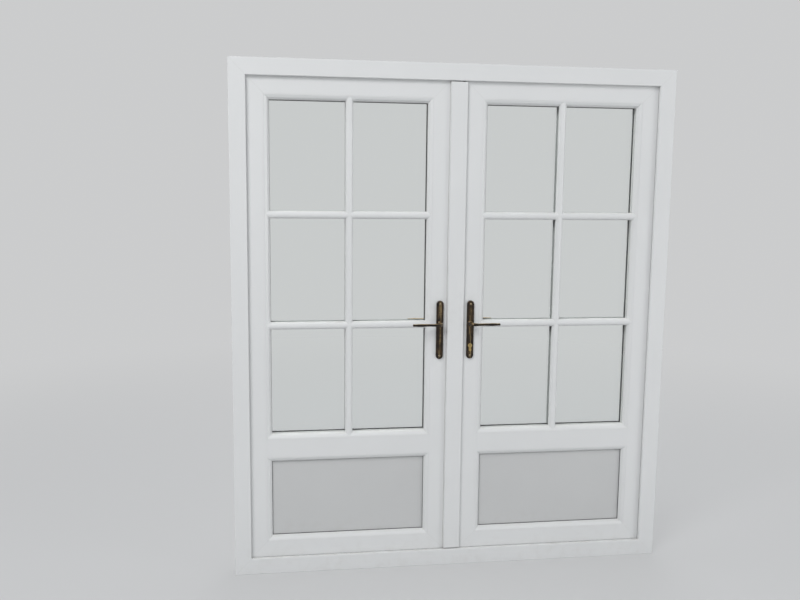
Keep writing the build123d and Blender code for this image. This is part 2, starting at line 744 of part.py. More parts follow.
with BuildPart() as unit_spacer:
    with BuildSketch(facade(UNIT_OUT - PANE)):
        frame_area(GLASS_SEATS, UNIT_CLEARANCE, UNIT_CLEARANCE + SPACER_WIDTH)
    extrude(amount=UNIT_DEPTH - 2 * PANE)
    reach = UNIT_CLEARANCE + SPACER_WIDTH
    bar_y = (UNIT_IN + PANE + CAVITY_BAR_GAP, UNIT_OUT - PANE - CAVITY_BAR_GAP)
    block(
        (BAR_X - CAVITY_BAR / 2, BAR_X + CAVITY_BAR / 2),
        bar_y,
        (GLASS_SEATS[2] + reach, GLASS_SEATS[3] - reach),
    )
    for z in row_heights:
        block(
            (SEAT_LEFT + reach, SEAT_RIGHT - reach),
            bar_y,
            (z - CAVITY_BAR / 2, z + CAVITY_BAR / 2),
        )
save_pair(unit_spacer, "unit_spacer")


# Floating mullion, carried by the left leaf

MULLION_BOTTOM = FRAME_FACE + MULLION_END_GAP
MULLION_TOP = OVERALL_HEIGHT - FRAME_FACE - MULLION_END_GAP
bolt_slots = [(z, BOLT_HEIGHT) for z in BOLT_HEIGHTS] + [(LATCH_Z, LATCH_HEIGHT)]


def cut_bolt_slots():
    """Slots that the right leaf's bolts and latch enter."""
    half = BOLT_WIDTH / 2 + KEEP_GAP
    for z, height in bolt_slots:
        block(
            (STEM_FACE - WALL, STEM_FACE + KEEP_THICK),
            (GROOVE_Y - half, GROOVE_Y + half),
            (z - height / 2 - KEEP_GAP, z + height / 2 + KEEP_GAP),
            Mode.SUBTRACT,
        )


with BuildPart() as mullion:
    with BuildSketch(Plane.XY.offset(MULLION_BOTTOM + END_CAP)):
        mullion_outline()
        y_split = FRAME_IN + STEM_CHAMBER_SPLIT
        cap = LEG_OUT - MULLION_CAP
        chamber(WALL - LOCK_EDGE, STEM_FACE - WALL, LEAF_IN + WALL, y_split)
        chamber(WALL - LOCK_EDGE, STEM_FACE - WALL, y_split + WEB, FRAME_OUT - WALL)
        edge = MULLION_FACE / 2 - WALL - MULLION_ROUND / 2
        chamber(-edge, edge, cap + WALL, LEG_OUT - WALL)
    extrude(amount=MULLION_TOP - MULLION_BOTTOM - 2 * END_CAP)
    cut_bolt_slots()
save(mullion, "mullion")

with BuildPart() as mullion_end_caps:
    for z, block_z in (
        (MULLION_BOTTOM, (LEAF_BOTTOM, MULLION_BOTTOM)),
        (MULLION_TOP - END_CAP, (MULLION_TOP, LEAF_TOP)),
    ):
        with BuildPart() as cap:
            with BuildSketch(Plane.XY.offset(z)):
                mullion_outline()
            extrude(amount=END_CAP)
            outer_face = cap.faces().filter_by(Axis.Z).sort_by(Axis.Z)[0 if z == MULLION_BOTTOM else -1]
            rim = outer_face.edges().filter_by(lambda e: e.center().Y < LEG_OUT - 1)
            fillet(rim, END_CAP_ROUND)
        add(cap.part)
        block((-LOCK_EDGE, STEM_FACE), (LEAF_IN, FRAME_OUT), block_z)
save(mullion_end_caps, "mullion_end_caps")

with BuildPart() as mullion_seal:
    seal_x = MULLION_FACE / 2 - 1
    block(
        (seal_x - 2 * SEAL_GAP, seal_x), (LEG_OUT, LEAF_IN), (MULLION_BOTTOM, MULLION_TOP)
    )
save(mullion_seal, "mullion_seal")

screw_offset = KEEP_LENGTH / 2 - KEEP_SCREW_FROM_END
with BuildPart() as lock_keeps:
    with BuildSketch(Plane.YZ.offset(STEM_FACE)):
        for z, _ in bolt_slots:
            with Locations((GROOVE_Y, z)):
                RectangleRounded(KEEP_WIDTH, KEEP_LENGTH, KEEP_ROUND)
            with Locations((GROOVE_Y, z - screw_offset), (GROOVE_Y, z + screw_offset)):
                Circle(KEEP_SCREW_R, mode=Mode.SUBTRACT)
    extrude(amount=KEEP_THICK)
    cut_bolt_slots()
save(lock_keeps, "lock_keeps")


# Lock of the right leaf

case_y = (GROOVE_Y - CASE_THICK / 2, GROOVE_Y + CASE_THICK / 2)
strip_z = (LEAF_BOTTOM + STRIP_END, LEAF_TOP - STRIP_END)
case_x = (GROOVE_FLOOR, STRIP_X + CASE_DEPTH)

strip_screws = [strip_z[0] + STRIP_SCREW_OFFSET, strip_z[1] - STRIP_SCREW_OFFSET]
for low, high in (MIDDLE_CASE, *OUTER_CASES):
    strip_screws += [low - STRIP_SCREW_OFFSET, high + STRIP_SCREW_OFFSET]


def faceplate_strip(x):
    """The long strip in the leaf's groove, with rounded ends and screw holes."""
    with BuildSketch(Plane.YZ.offset(x[0])) as face:
        with Locations((GROOVE_Y, sum(strip_z) / 2)):
            RectangleRounded(STRIP_WIDTH, strip_z[1] - strip_z[0], STRIP_ROUND)
        with Locations(*[(GROOVE_Y, z) for z in strip_screws]):
            Circle(STRIP_SCREW_R, mode=Mode.SUBTRACT)
    extrude(face.sketch, amount=x[1] - x[0])


with BuildPart() as right_lock:
    faceplate_strip((STRIP_X, STRIP_X + STRIP_THICK))
    for case in (MIDDLE_CASE, *OUTER_CASES):
        block(case_x, case_y, case)
    half = BOLT_WIDTH / 2 + BOLT_GAP
    for z, height in bolt_slots:
        block(
            (STRIP_X, STRIP_X + BOLT_LENGTH + BOLT_THROW + 2 * BOLT_GAP),
            (GROOVE_Y - half, GROOVE_Y + half),
            (z - height / 2 - BOLT_GAP, z + height / 2 + BOLT_GAP),
            Mode.SUBTRACT,
        )
    cut_for_handle(0.4, has_cylinder=True)
save(right_lock, "right_lock")

with BuildPart() as right_bolts:
    with BuildSketch(Plane.YZ.offset(STRIP_X)):
        with Locations(*[(GROOVE_Y, z) for z in BOLT_HEIGHTS]):
            RectangleRounded(BOLT_WIDTH, BOLT_HEIGHT, BOLT_NOSE)
    extrude(amount=BOLT_LENGTH)
    nose = right_bolts.faces().filter_by(Axis.X).group_by(Axis.X)[0]
    chamfer(nose.edges(), BOLT_NOSE / 2)
save(right_bolts, "right_bolts")

with BuildPart() as right_latch:
    with BuildSketch(Plane.XY.offset(LATCH_Z - LATCH_HEIGHT / 2)):
        half = BOLT_WIDTH / 2
        outline(
            (STRIP_X + half, GROOVE_Y - half, 1),
            (STRIP_X + BOLT_LENGTH, GROOVE_Y - half, 0),
            (STRIP_X + BOLT_LENGTH, GROOVE_Y + half, 0),
            (STRIP_X, GROOVE_Y + half, 0),
            (STRIP_X, GROOVE_Y + half / 2, 1),
        )
    extrude(amount=LATCH_HEIGHT)
save(right_latch, "right_latch")

CYLINDER_IN = LEAF_IN - PLATE_THICK - CYLINDER_PROUD
CYLINDER_OUT = LEAF_OUT + PLATE_THICK + CYLINDER_PROUD

with BuildPart() as lock_cylinder:
    with BuildSketch(facade(CYLINDER_OUT)):
        euro_profile()
    extrude(amount=CYLINDER_OUT - CYLINDER_IN)
    for face in (CYLINDER_OUT, CYLINDER_IN + PLUG_LENGTH):
        with BuildSketch(facade(face)):
            with Locations((HANDLE_X, CYLINDER_Z)):
                Circle(PLUG_R + PLUG_GAP)
        extrude(amount=PLUG_LENGTH, mode=Mode.SUBTRACT)
save(lock_cylinder, "lock_cylinder")

with BuildPart() as plug_inside:
    with BuildSketch(facade(CYLINDER_IN + PLUG_LENGTH)):
        with Locations((HANDLE_X, CYLINDER_Z)):
            Circle(PLUG_R)
    extrude(amount=PLUG_LENGTH)
    width, height, depth = KEYWAY
    block(
        (HANDLE_X - width / 2, HANDLE_X + width / 2),
        (CYLINDER_IN, CYLINDER_IN + depth),
        (CYLINDER_Z - height / 2, CYLINDER_Z + height / 2),
        Mode.SUBTRACT,
    )
save(plug_inside, "plug_inside")

middle_plane = Plane((0, LEAF_MID, 0), z_dir=(0, 1, 0))
with BuildPart() as plug_outside:
    add(mirror(plug_inside.part, about=middle_plane))
save(plug_outside, "plug_outside")


# Shoot bolt gear of the left leaf

with BuildPart() as left_gear:
    strip_x = ROD_X - ROD_THICK / 2 - RUNNING_GAP
    faceplate_strip((LOCK_EDGE + RUNNING_GAP, strip_x))
    block((strip_x, STRIP_X + CASE_DEPTH), case_y, MIDDLE_CASE)
    cut_for_handle(0.4, has_cylinder=False)
save(left_gear, "left_gear", mirrored=True)

rod_x = (ROD_X - ROD_THICK / 2, ROD_X + ROD_THICK / 2)
rod_y = (GROOVE_Y - ROD_WIDTH / 2, GROOVE_Y + ROD_WIDTH / 2)

with BuildPart() as left_top_bolt:
    block(rod_x, rod_y, (MIDDLE_CASE[1] + ROD_START, LEAF_TOP))
save(left_top_bolt, "left_top_bolt", mirrored=True)

with BuildPart() as left_bottom_bolt:
    block(rod_x, rod_y, (LEAF_BOTTOM, MIDDLE_CASE[0] - ROD_START))
save(left_bottom_bolt, "left_bottom_bolt", mirrored=True)


# Handles

def handle_plates(has_cylinder):
    """The room side and outside plates of one leaf."""
    with BuildPart() as plates:
        seat = Plane((HANDLE_X, LEAF_IN, sum(PLATE_ENDS) / 2), x_dir=(0, 0, 1), z_dir=(0, -1, 0))
        with BuildSketch(seat):
            SlotOverall(PLATE_ENDS[1] - PLATE_ENDS[0], PLATE_WIDTH)
        extrude(amount=PLATE_THICK)
        front = plates.faces().sort_by(Axis.Y)[0]
        fillet(front.edges(), PLATE_ROUND)
        mirror(about=middle_plane)
        cut_for_handle(PLUG_GAP, has_cylinder)
        with BuildSketch(facade(LEAF_IN - PLATE_THICK + SCREW_HEAD)):
            with Locations(*[(HANDLE_X, z) for z in PLATE_SCREWS]):
                Circle(SCREW_HEAD_R + SCREW_GAP)
        extrude(amount=SCREW_HEAD, mode=Mode.SUBTRACT)
    return plates


save(handle_plates(True), "right_handle_plates")
save(handle_plates(False), "left_handle_plates", mirrored=True)

with BuildPart() as handle_screws:
    head_face = LEAF_IN - PLATE_THICK
    with BuildSketch(facade(LEAF_OUT + PLATE_THICK / 2)):
        with Locations(*[(HANDLE_X, z) for z in PLATE_SCREWS]):
            Circle(SCREW_R)
    extrude(amount=LEAF_OUT + PLATE_THICK / 2 - head_face)
    with BuildSketch(facade(head_face + SCREW_HEAD)):
        with Locations(*[(HANDLE_X, z) for z in PLATE_SCREWS]):
            Circle(SCREW_HEAD_R)
    extrude(amount=SCREW_HEAD)
    chamfer(handle_screws.faces().group_by(Axis.Y)[0].edges(), SCREW_HEAD / 4)
save_pair(handle_screws, "handle_screws")

LEVER_Y = LEAF_IN - PLATE_THICK - LEVER_STAND_OFF
hub_start = LEAF_IN - PLATE_THICK - RUNNING_GAP
spindle_end = LEVER_Y + LEVER_BEND - SPINDLE / 2
ARM_STATIONS = (
    # share of the arm's length, height and depth of the arm there
    (0, 13, 12),
    (0.25, 10.5, 10),
    (0.6, 11.5, 10.5),
    (0.88, 9.5, 9),
    (1, 4, 4),
)


def lever_station(place, along, height, depth):
    """One cross-section of the lever, across its middle line."""
    with BuildSketch(Plane(place, x_dir=(0, 0, 1), z_dir=along)) as station:
        Ellipse(height / 2, depth / 2)
    return station.sketch


def bend_and_arm():
    """Cross-sections from the end of the neck, round the bend and along the arm."""
    bend_start = Vector(HANDLE_X, LEVER_Y + LEVER_BEND, SPINDLE_Z)
    bend_middle = bend_start + Vector(1 - 0.5**0.5, -(0.5**0.5), 0) * LEVER_BEND
    arm_start = Vector(HANDLE_X + LEVER_BEND, LEVER_Y, SPINDLE_Z)
    arm = LEVER_LENGTH - LEVER_BEND
    stations = [
        lever_station(bend_start, (0, -1, 0), 2 * NECK_R, 2 * NECK_R),
        lever_station(bend_middle, (1, -1, 0), 1.85 * NECK_R, 1.9 * NECK_R),
    ]
    for share, height, depth in ARM_STATIONS:
        place = arm_start + Vector(share * arm, 0, 0)
        stations.append(lever_station(place, (1, 0, 0), height, depth))
    return stations


with BuildPart() as levers:
    with BuildSketch(facade(hub_start)):
        with Locations((HANDLE_X, SPINDLE_Z)):
            Circle(COLLAR_R)
    extrude(amount=COLLAR)
    chamfer(levers.faces().sort_by(Axis.Y)[0].edges(), COLLAR / 4)
    with BuildSketch(facade(hub_start)):
        with Locations((HANDLE_X, SPINDLE_Z)):
            Circle(NECK_R)
    extrude(amount=hub_start - LEVER_Y - LEVER_BEND)
    loft(bend_and_arm())
    half = SPINDLE / 2
    block(
        (HANDLE_X - half, HANDLE_X + half),
        (spindle_end, hub_start),
        (SPINDLE_Z - half, SPINDLE_Z + half),
        Mode.SUBTRACT,
    )
    mirror(about=middle_plane)
save_pair(levers, "levers")

with BuildPart() as spindle:
    half = SPINDLE / 2
    block(
        (HANDLE_X - half, HANDLE_X + half),
        (spindle_end, 2 * LEAF_MID - spindle_end),
        (SPINDLE_Z - half, SPINDLE_Z + half),
    )
save_pair(spindle, "spindle")


# Hinges, drawn about each pin


def hinge_plate(x, y, z):
    """A flat plate with rounded corners and softened outer edges."""
    with BuildPart() as plate:
        with BuildSketch(facade(y[1])):
            with Locations((sum(x) / 2, sum(z) / 2)):
                RectangleRounded(x[1] - x[0], z[1] - z[0], HINGE_CORNER)
        extrude(amount=y[1] - y[0])
        fillet(plate.faces().sort_by(Axis.Y)[-1].edges(), HINGE_EDGE_ROUND)
    return plate.part


def hinge_knuckle(z):
    """Half of the hinge's barrel, with softened ends."""
    with BuildPart() as knuckle:
        with BuildSketch(Plane.XY.offset(z[0])):
            with Locations((HINGE_X, HINGE_Y)):
                Circle(KNUCKLE_R)
        extrude(amount=z[1] - z[0])
        chamfer(knuckle.edges().filter_by(GeomType.CIRCLE), HINGE_EDGE_ROUND / 2)
    return knuckle.part


half_height = HINGE_HEIGHT / 2

with BuildPart() as right_frame_flags:
    for z in HINGE_HEIGHTS:
        x0 = HINGE_X - HINGE_CLEARANCE
        lower_half = (z - half_height, z - RUNNING_GAP)
        add(hinge_knuckle(lower_half))
        block((x0, x0 + HINGE_NECK), (FRAME_OUT + HINGE_PLATE / 2, HINGE_Y), lower_half)
        plate_y = (FRAME_OUT, FRAME_OUT + HINGE_PLATE)
        add(hinge_plate((x0, x0 + FRAME_PLATE_WIDTH), plate_y, (z - half_height, z + half_height)))
    with Locations(*[(HINGE_X, HINGE_Y, z) for z in HINGE_HEIGHTS]):
        Cylinder(PIN_R + PIN_GAP, HINGE_HEIGHT + 1, mode=Mode.SUBTRACT)
with BuildPart() as frame_flags:
    add(right_frame_flags.part)
    mirror(about=Plane.YZ)
save(frame_flags, "hinge_frame_flags")

with BuildPart() as leaf_flags:
    for z in HINGE_HEIGHTS:
        x0 = HINGE_X - LEAF_PLATE_WIDTH
        upper_half = (z + RUNNING_GAP, z + half_height)
        add(hinge_knuckle(upper_half))
        plate_y = (LEAF_OUT, LEAF_OUT + HINGE_PLATE)
        block((x0 + HINGE_CORNER, HINGE_X), (LEAF_OUT, LEAF_OUT + HINGE_PLATE), upper_half)
        plate_x = (x0, HINGE_X - KNUCKLE_R - HINGE_CLEARANCE)
        add(hinge_plate(plate_x, plate_y, (z - half_height, z + half_height)))
    with Locations(*[(HINGE_X, HINGE_Y, z) for z in HINGE_HEIGHTS]):
        Cylinder(PIN_R + PIN_GAP, HINGE_HEIGHT + 1, mode=Mode.SUBTRACT)
save_pair(leaf_flags, "hinge_leaf_flags")

with BuildPart() as pin:
    Cylinder(PIN_R, HINGE_HEIGHT + 2 * RUNNING_GAP)
    cap_lift = half_height + RUNNING_GAP + PIN_CAP / 2
    with Locations((0, 0, cap_lift), (0, 0, -cap_lift)):
        Cylinder(PIN_CAP_R, PIN_CAP)
    for end in (0, -1):
        fillet(pin.faces().sort_by(Axis.Z)[end].edges(), PIN_CAP_ROUND)
with BuildPart() as pins:
    with Locations(*[(x, HINGE_Y, z) for x in (-HINGE_X, HINGE_X) for z in HINGE_HEIGHTS]):
        add(pin.part)
save(pins, "hinge_pins")
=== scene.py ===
"""French doors with their frame, seen from the room in a plain pale studio.

Lengths are in metres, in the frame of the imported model: X right, Y outwards, Z up.
"""

import math

import bpy
from mathutils import Matrix, Vector


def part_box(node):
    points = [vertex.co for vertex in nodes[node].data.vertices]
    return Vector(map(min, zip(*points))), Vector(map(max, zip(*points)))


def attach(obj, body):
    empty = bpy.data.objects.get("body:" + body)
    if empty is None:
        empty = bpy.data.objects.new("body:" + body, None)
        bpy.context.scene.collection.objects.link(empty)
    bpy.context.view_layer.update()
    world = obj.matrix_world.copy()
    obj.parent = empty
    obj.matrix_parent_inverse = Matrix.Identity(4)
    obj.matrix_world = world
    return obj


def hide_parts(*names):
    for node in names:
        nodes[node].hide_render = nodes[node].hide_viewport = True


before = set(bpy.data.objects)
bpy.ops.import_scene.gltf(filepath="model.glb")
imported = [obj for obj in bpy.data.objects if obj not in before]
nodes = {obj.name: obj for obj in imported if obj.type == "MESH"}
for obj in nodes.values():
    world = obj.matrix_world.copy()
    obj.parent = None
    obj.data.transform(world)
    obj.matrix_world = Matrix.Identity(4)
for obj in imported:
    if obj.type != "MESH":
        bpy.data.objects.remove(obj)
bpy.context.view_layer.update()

# Places read from the model
FLANGE = 0.020  # how far a leaf's outer flange runs past its edge
GLASS_CLEARANCE = 0.005  # round the glass and the panel in their rebates
HALF_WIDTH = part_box("frame_right_jamb")[1].x
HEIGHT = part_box("frame_head")[1].z
FRAME_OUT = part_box("frame_sill")[1].y
HINGE_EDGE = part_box("right_hinge_stile")[1].x - FLANGE
LOCK_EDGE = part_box("right_lock_stile")[0].x + FLANGE
LEAF_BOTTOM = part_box("right_bottom_rail")[0].z + FLANGE
LEAF_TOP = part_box("right_top_rail")[1].z - FLANGE
SEATS = [
    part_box("right_panes")[0].x - GLASS_CLEARANCE,
    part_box("right_panes")[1].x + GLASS_CLEARANCE,
]
GLASS_ENDS = [
    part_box("right_panes")[0].z - GLASS_CLEARANCE,
    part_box("right_panes")[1].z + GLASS_CLEARANCE,
]
PANEL_ENDS = [
    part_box("right_panel")[0].z - GLASS_CLEARANCE,
    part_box("right_panel")[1].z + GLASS_CLEARANCE,
]
HANDLE_X = sum(v.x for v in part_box("right_spindle")) / 2
SPINDLE_Z = sum(v.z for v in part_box("right_spindle")) / 2
STRIP_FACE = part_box("right_lock")[0].x
KEEP_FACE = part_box("lock_keeps")[1].x
ROD_X = sum(v.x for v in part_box("left_top_bolt")) / 2
GROOVE_Y = sum(v.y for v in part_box("left_top_bolt")) / 2
GLASS_FACES = [v.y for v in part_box("right_panes")]
BEAD_FRONT, BEAD_BACK = [v.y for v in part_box("right_beads")]
LEAF_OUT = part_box("right_lock_stile")[1].y
MULLION_EDGE, MULLION_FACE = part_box("mullion")[0].x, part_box("mullion")[0].y
LEVER_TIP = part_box("right_levers")[1].x

# Camera, fitted to the photograph: place in metres, turn in degrees, lens in millimetres
CAMERA_PLACE = (-0.7095, -3.3894, 1.5929)
CAMERA_TURN = (82.375, -0.593, -8.018)
CAMERA_LENS = 37.92


# Shader maths


class Shade:
    """A socket of a material. Sums of shades add Math nodes."""

    def __init__(self, tree, socket):
        self.tree = tree
        self.socket = socket

    def maths(self, operation, *others):
        inputs = dict(enumerate((self, *others)))
        return node(self.tree, "ShaderNodeMath", {"operation": operation}, inputs)

    def __add__(self, other):
        return self.maths("ADD", other)

    def __sub__(self, other):
        return self.maths("SUBTRACT", other)

    def __rsub__(self, other):
        return node(self.tree, "ShaderNodeMath", {"operation": "SUBTRACT"}, {0: other, 1: self})

    def __mul__(self, other):
        return self.maths("MULTIPLY", other)

    __radd__ = __add__
    __rmul__ = __mul__

    def __abs__(self):
        return self.maths("ABSOLUTE")

    def least(self, other):
        return self.maths("MINIMUM", other)

    def most(self, other):
        return self.maths("MAXIMUM", other)

    def step(self, start, end):
        """0 before start and 1 after end, or the other way round, with a soft step between."""
        settings = {"interpolation_type": "SMOOTHSTEP"}
        inputs = {"Value": self, "From Min": start, "From Max": end}
        return node(self.tree, "ShaderNodeMapRange", settings, inputs)


def node(tree, kind, settings=None, inputs=None, output=0):
    """Adds a node: its settings first, then the values or links of its sockets."""
    made = tree.nodes.new(kind)
    for name, value in (settings or {}).items():
        setattr(made, name, value)
    for name, value in (inputs or {}).items():
        if isinstance(value, Shade):
            tree.links.new(value.socket, made.inputs[name])
        else:
            made.inputs[name].default_value = value
    return Shade(tree, made.outputs[output])


class Finish:
    """A material under way, with the patterns that its surface is made of."""

    def __init__(self, name):
        self.material = bpy.data.materials.new(name)
        self.material.use_nodes = True
        self.tree = self.material.node_tree
        self.tree.nodes.clear()
        self.place = node(self.tree, "ShaderNodeTexCoord", output="Object")
        self.x, self.y, self.z = self.parts_of(self.place)
        facing = node(self.tree, "ShaderNodeTexCoord", output="Normal")
        self.facing_x, self.facing_y, self.facing_z = self.parts_of(facing)
        self.normal = None

    def parts_of(self, vector):
        split = node(self.tree, "ShaderNodeSeparateXYZ", inputs={0: vector}).socket.node
        return [Shade(self.tree, s) for s in split.outputs]

    def noise(self, scale, stretch=(1, 1, 1), detail=3, roughness=0.5):
        """Cloudy noise from 0 to 1. The scale is in clouds to the metre."""
        inputs = {"Vector": self.place, "Scale": stretch}
        place = node(self.tree, "ShaderNodeMapping", inputs=inputs)
        inputs = {"Vector": place, "Scale": scale, "Detail": detail, "Roughness": roughness}
        return node(self.tree, "ShaderNodeTexNoise", inputs=inputs)

    def cells(self, scale):
        """Distance to the middle of the nearest cell, with the scale in cells to the metre."""
        inputs = {"Vector": self.place, "Scale": scale}
        return node(self.tree, "ShaderNodeTexVoronoi", inputs=inputs, output="Distance")

    def mix(self, share, first, second):
        """A colour between two others."""
        settings = {"data_type": "RGBA"}
        inputs = {0: share, 6: first, 7: second}
        return node(self.tree, "ShaderNodeMix", settings, inputs, output=2)

    def relief(self, height, depth, strength=1.0):
        """Raises the surface by a pattern, up to the depth in metres."""
        inputs = {"Height": height, "Distance": depth, "Strength": strength}
        if self.normal:
            inputs["Normal"] = self.normal
        self.normal = node(self.tree, "ShaderNodeBump", inputs=inputs)

    def surface(self, **sockets):
        """The shader itself, with its sockets named as in Blender, with _ for a space."""
        inputs = {name.replace("_", " "): value for name, value in sockets.items()}
        if self.normal:
            inputs["Normal"] = self.normal
        return node(self.tree, "ShaderNodeBsdfPrincipled", inputs=inputs)

    def done(self, shader):
        end = self.tree.nodes.new("ShaderNodeOutputMaterial")
        self.tree.links.new(shader.socket, end.inputs["Surface"])
        return self.material


def shows_studio(tree):
    """1 for a ray that shows the studio itself: from the camera, in gloss or through glass."""
    path = node(tree, "ShaderNodeLightPath").socket.node
    names = ("Is Camera Ray", "Is Glossy Ray", "Is Transmission Ray")
    camera, gloss, through = [Shade(tree, path.outputs[name]) for name in names]
    return camera.most(gloss).most(through)


# Finishes. Colours are linear, and a step's ends are in metres where it follows a place.

WELD_ENDS = (0.0016, 0.0004)  # a line fades out and in at these distances from its middle
MITRE_ENDS = (0.0009, 0.0002)
CORNER_ENDS = (0.0026, 0.0008)
PVC_LIGHT, PVC_DARK = (0.80, 0.806, 0.804, 1), (0.775, 0.782, 0.780, 1)
PANEL_LIGHT, PANEL_DARK = (0.622, 0.626, 0.622, 1), (0.600, 0.603, 0.600, 1)
ENAMEL_LIGHT, ENAMEL_DARK = (0.80, 0.808, 0.81, 1), (0.745, 0.75, 0.75, 1)
RUBBER_LIGHT, RUBBER_DARK = (0.075, 0.075, 0.073, 1), (0.040, 0.042, 0.045, 1)
# Pale grey painted on the gaskets' inside flaps as painted light.
PAINTED_LIGHT_FLAP = (0.60, 0.60, 0.59, 1)
DUST = (0.56, 0.53, 0.47, 1)
SPLASHES = (0.52, 0.49, 0.44, 1)
PANEL_SPLASHES = (0.45, 0.43, 0.39, 1)
HAND_MARKS = (0.56, 0.54, 0.50, 1)
# Painted shade for the corner beside the mullion.
PAINTED_CORNER_SHADE = (0.36, 0.35, 0.33, 1)
WELD_LINE = (0.46, 0.45, 0.43, 1)
PATINA_DARK, PATINA_BROWN = (0.018, 0.011, 0.006, 1), (0.074, 0.041, 0.016, 1)
# The rim colour below paints a dark reflection, and the rubbed brass also serves as a painted
# highlight.
DARK_RIM_REFLECTION = (0.010, 0.007, 0.005, 1)
BRASS_WEAR_AND_HIGHLIGHT = (0.64, 0.48, 0.24, 1)
SCREW_LIGHT, SCREW_DARK = (0.50, 0.41, 0.28, 1), (0.26, 0.195, 0.12, 1)
CYLINDER_LIGHT, CYLINDER_DARK = (0.58, 0.43, 0.18, 1), (0.38, 0.265, 0.11, 1)
SPACER_LIGHT, SPACER_DARK = (0.76, 0.765, 0.76, 1), (0.68, 0.685, 0.68, 1)
BRIGHT_STEEL, GALVANISED = (0.62, 0.62, 0.6), (0.48, 0.5, 0.52)
GLASS_TINT, SHADOW_TINT = (0.982, 0.994, 0.988, 1), (0.95, 0.965, 0.96, 1)


def frame_welds(made):
    """The mitres of the outer frame."""
    across, height = HALF_WIDTH - abs(made.x), made.z.least(HEIGHT - made.z)
    return abs(across - height).step(*WELD_ENDS)


def leaf_welds(made):
    """The mitres of both leaves."""
    across = (abs(made.x) - LOCK_EDGE).least(HINGE_EDGE - abs(made.x))
    height = (made.z - LEAF_BOTTOM).least(LEAF_TOP - made.z)
    return abs(across - height).step(*WELD_ENDS)


def bead_mitres(made):
    """The cut corners of the glazing beads, round the glass and round the panel."""
    across = (abs(made.x) - SEATS[0]).least(SEATS[1] - abs(made.x))
    glass = (made.z - GLASS_ENDS[0]).least(GLASS_ENDS[1] - made.z)
    panel = (made.z - PANEL_ENDS[0]).least(PANEL_ENDS[1] - made.z)
    return abs(across - glass.most(panel)).step(*MITRE_ENDS)


def mullion_corner_shade(made):
    """Painted shade in the corner between the mullion and the face of the leaf that carries it."""
    return abs(made.x - MULLION_EDGE).step(*CORNER_ENDS) * made.facing_y.step(-0.5, -0.9)


def profile_plastic(name, along, joints=None):
    """White extruded plastic. Its faint die lines run along the bar, dust lies on top, splashes
    near the floor and the marks of hands round the levers.
    On the leaves, painted shade darkens the corner at the mullion's edge."""
    made = Finish(name)
    lines = (2, 260, 260) if along == "X" else (260, 260, 2)
    cloud = made.noise(1.6, detail=4)
    film = made.noise(14, detail=5, roughness=0.65)
    dust = made.facing_z.step(0.55, 0.95) * film.step(0.3, 0.75)
    low = made.z.step(0.20, 0.01) * made.noise(22, detail=5, roughness=0.6).step(0.45, 0.8)
    aside, above = abs(made.x) - HANDLE_X, made.z - SPINDLE_Z
    reach = (aside * aside * 3 + above * above).maths("SQRT")
    touched = reach.step(0.17, 0.05) * made.noise(45, detail=4, roughness=0.6).step(0.4, 0.7)
    colour = made.mix(cloud.step(0.3, 0.7), PVC_LIGHT, PVC_DARK)
    colour = made.mix(dust * 0.32, colour, DUST)
    colour = made.mix(low * 0.16, colour, SPLASHES)
    colour = made.mix(touched * 0.12, colour, HAND_MARKS)
    rough = 0.25 + film * 0.10 + dust * 0.3 + low * 0.15 + touched * 0.12
    rough = rough + made.facing_z.step(0.90, 0.99) * 0.25
    made.relief(made.noise(5, detail=2), 0.0010, 0.22)
    made.relief(made.noise(1, stretch=lines, detail=2), 0.00004, 0.6)
    if joints is leaf_welds:
        # Painted shade: the leaf's face darkens along the mullion's left edge.
        colour = made.mix(mullion_corner_shade(made) * 0.5, colour, PAINTED_CORNER_SHADE)
    if joints:
        joint = joints(made)
        colour = made.mix(joint * 0.14, colour, WELD_LINE)
        rough = rough + joint * 0.2
        made.relief(1 - joint, 0.0003)
    return made.done(made.surface(Base_Color=colour, Roughness=rough, IOR=1.53))


def panel_plastic():
    """The flat matt sheet of the low panels."""
    made = Finish("panel_plastic")
    cloud = made.noise(2.2, detail=4)
    film = made.noise(18, detail=5, roughness=0.6)
    low = made.z.step(0.24, 0.14) * film.step(0.45, 0.75)
    colour = made.mix(cloud.step(0.3, 0.7), PANEL_LIGHT, PANEL_DARK)
    colour = made.mix(low * 0.15, colour, PANEL_SPLASHES)
    made.relief(made.noise(3, detail=1), 0.002, 0.2)
    made.relief(made.noise(420, detail=2), 0.00006, 0.6)
    return made.done(made.surface(Base_Color=colour, Roughness=0.42 + film * 0.14, IOR=1.5))


def rubber(name, painted_light_inside=0):
    """Dark seals, a little dusty. Above the panel, the flap of the beads' gasket inside is painted
    pale grey as painted light, on the same dark rubber as the rest.
    """
    made = Finish(name)
    film = made.noise(60, detail=4)
    colour = made.mix(film.step(0.35, 0.75), RUBBER_DARK, RUBBER_LIGHT)
    if painted_light_inside:
        # Painted light: the inside flaps round the glass are lightened to pale grey.
        inside = made.y.step(0.012, 0.008) * made.z.step(0.50, 0.54) * painted_light_inside
        colour = made.mix(inside, colour, PAINTED_LIGHT_FLAP)
    made.relief(made.noise(300, detail=2), 0.00008, 0.7)
    return made.done(made.surface(Base_Color=colour, Roughness=0.55 + film * 0.25, IOR=1.5))


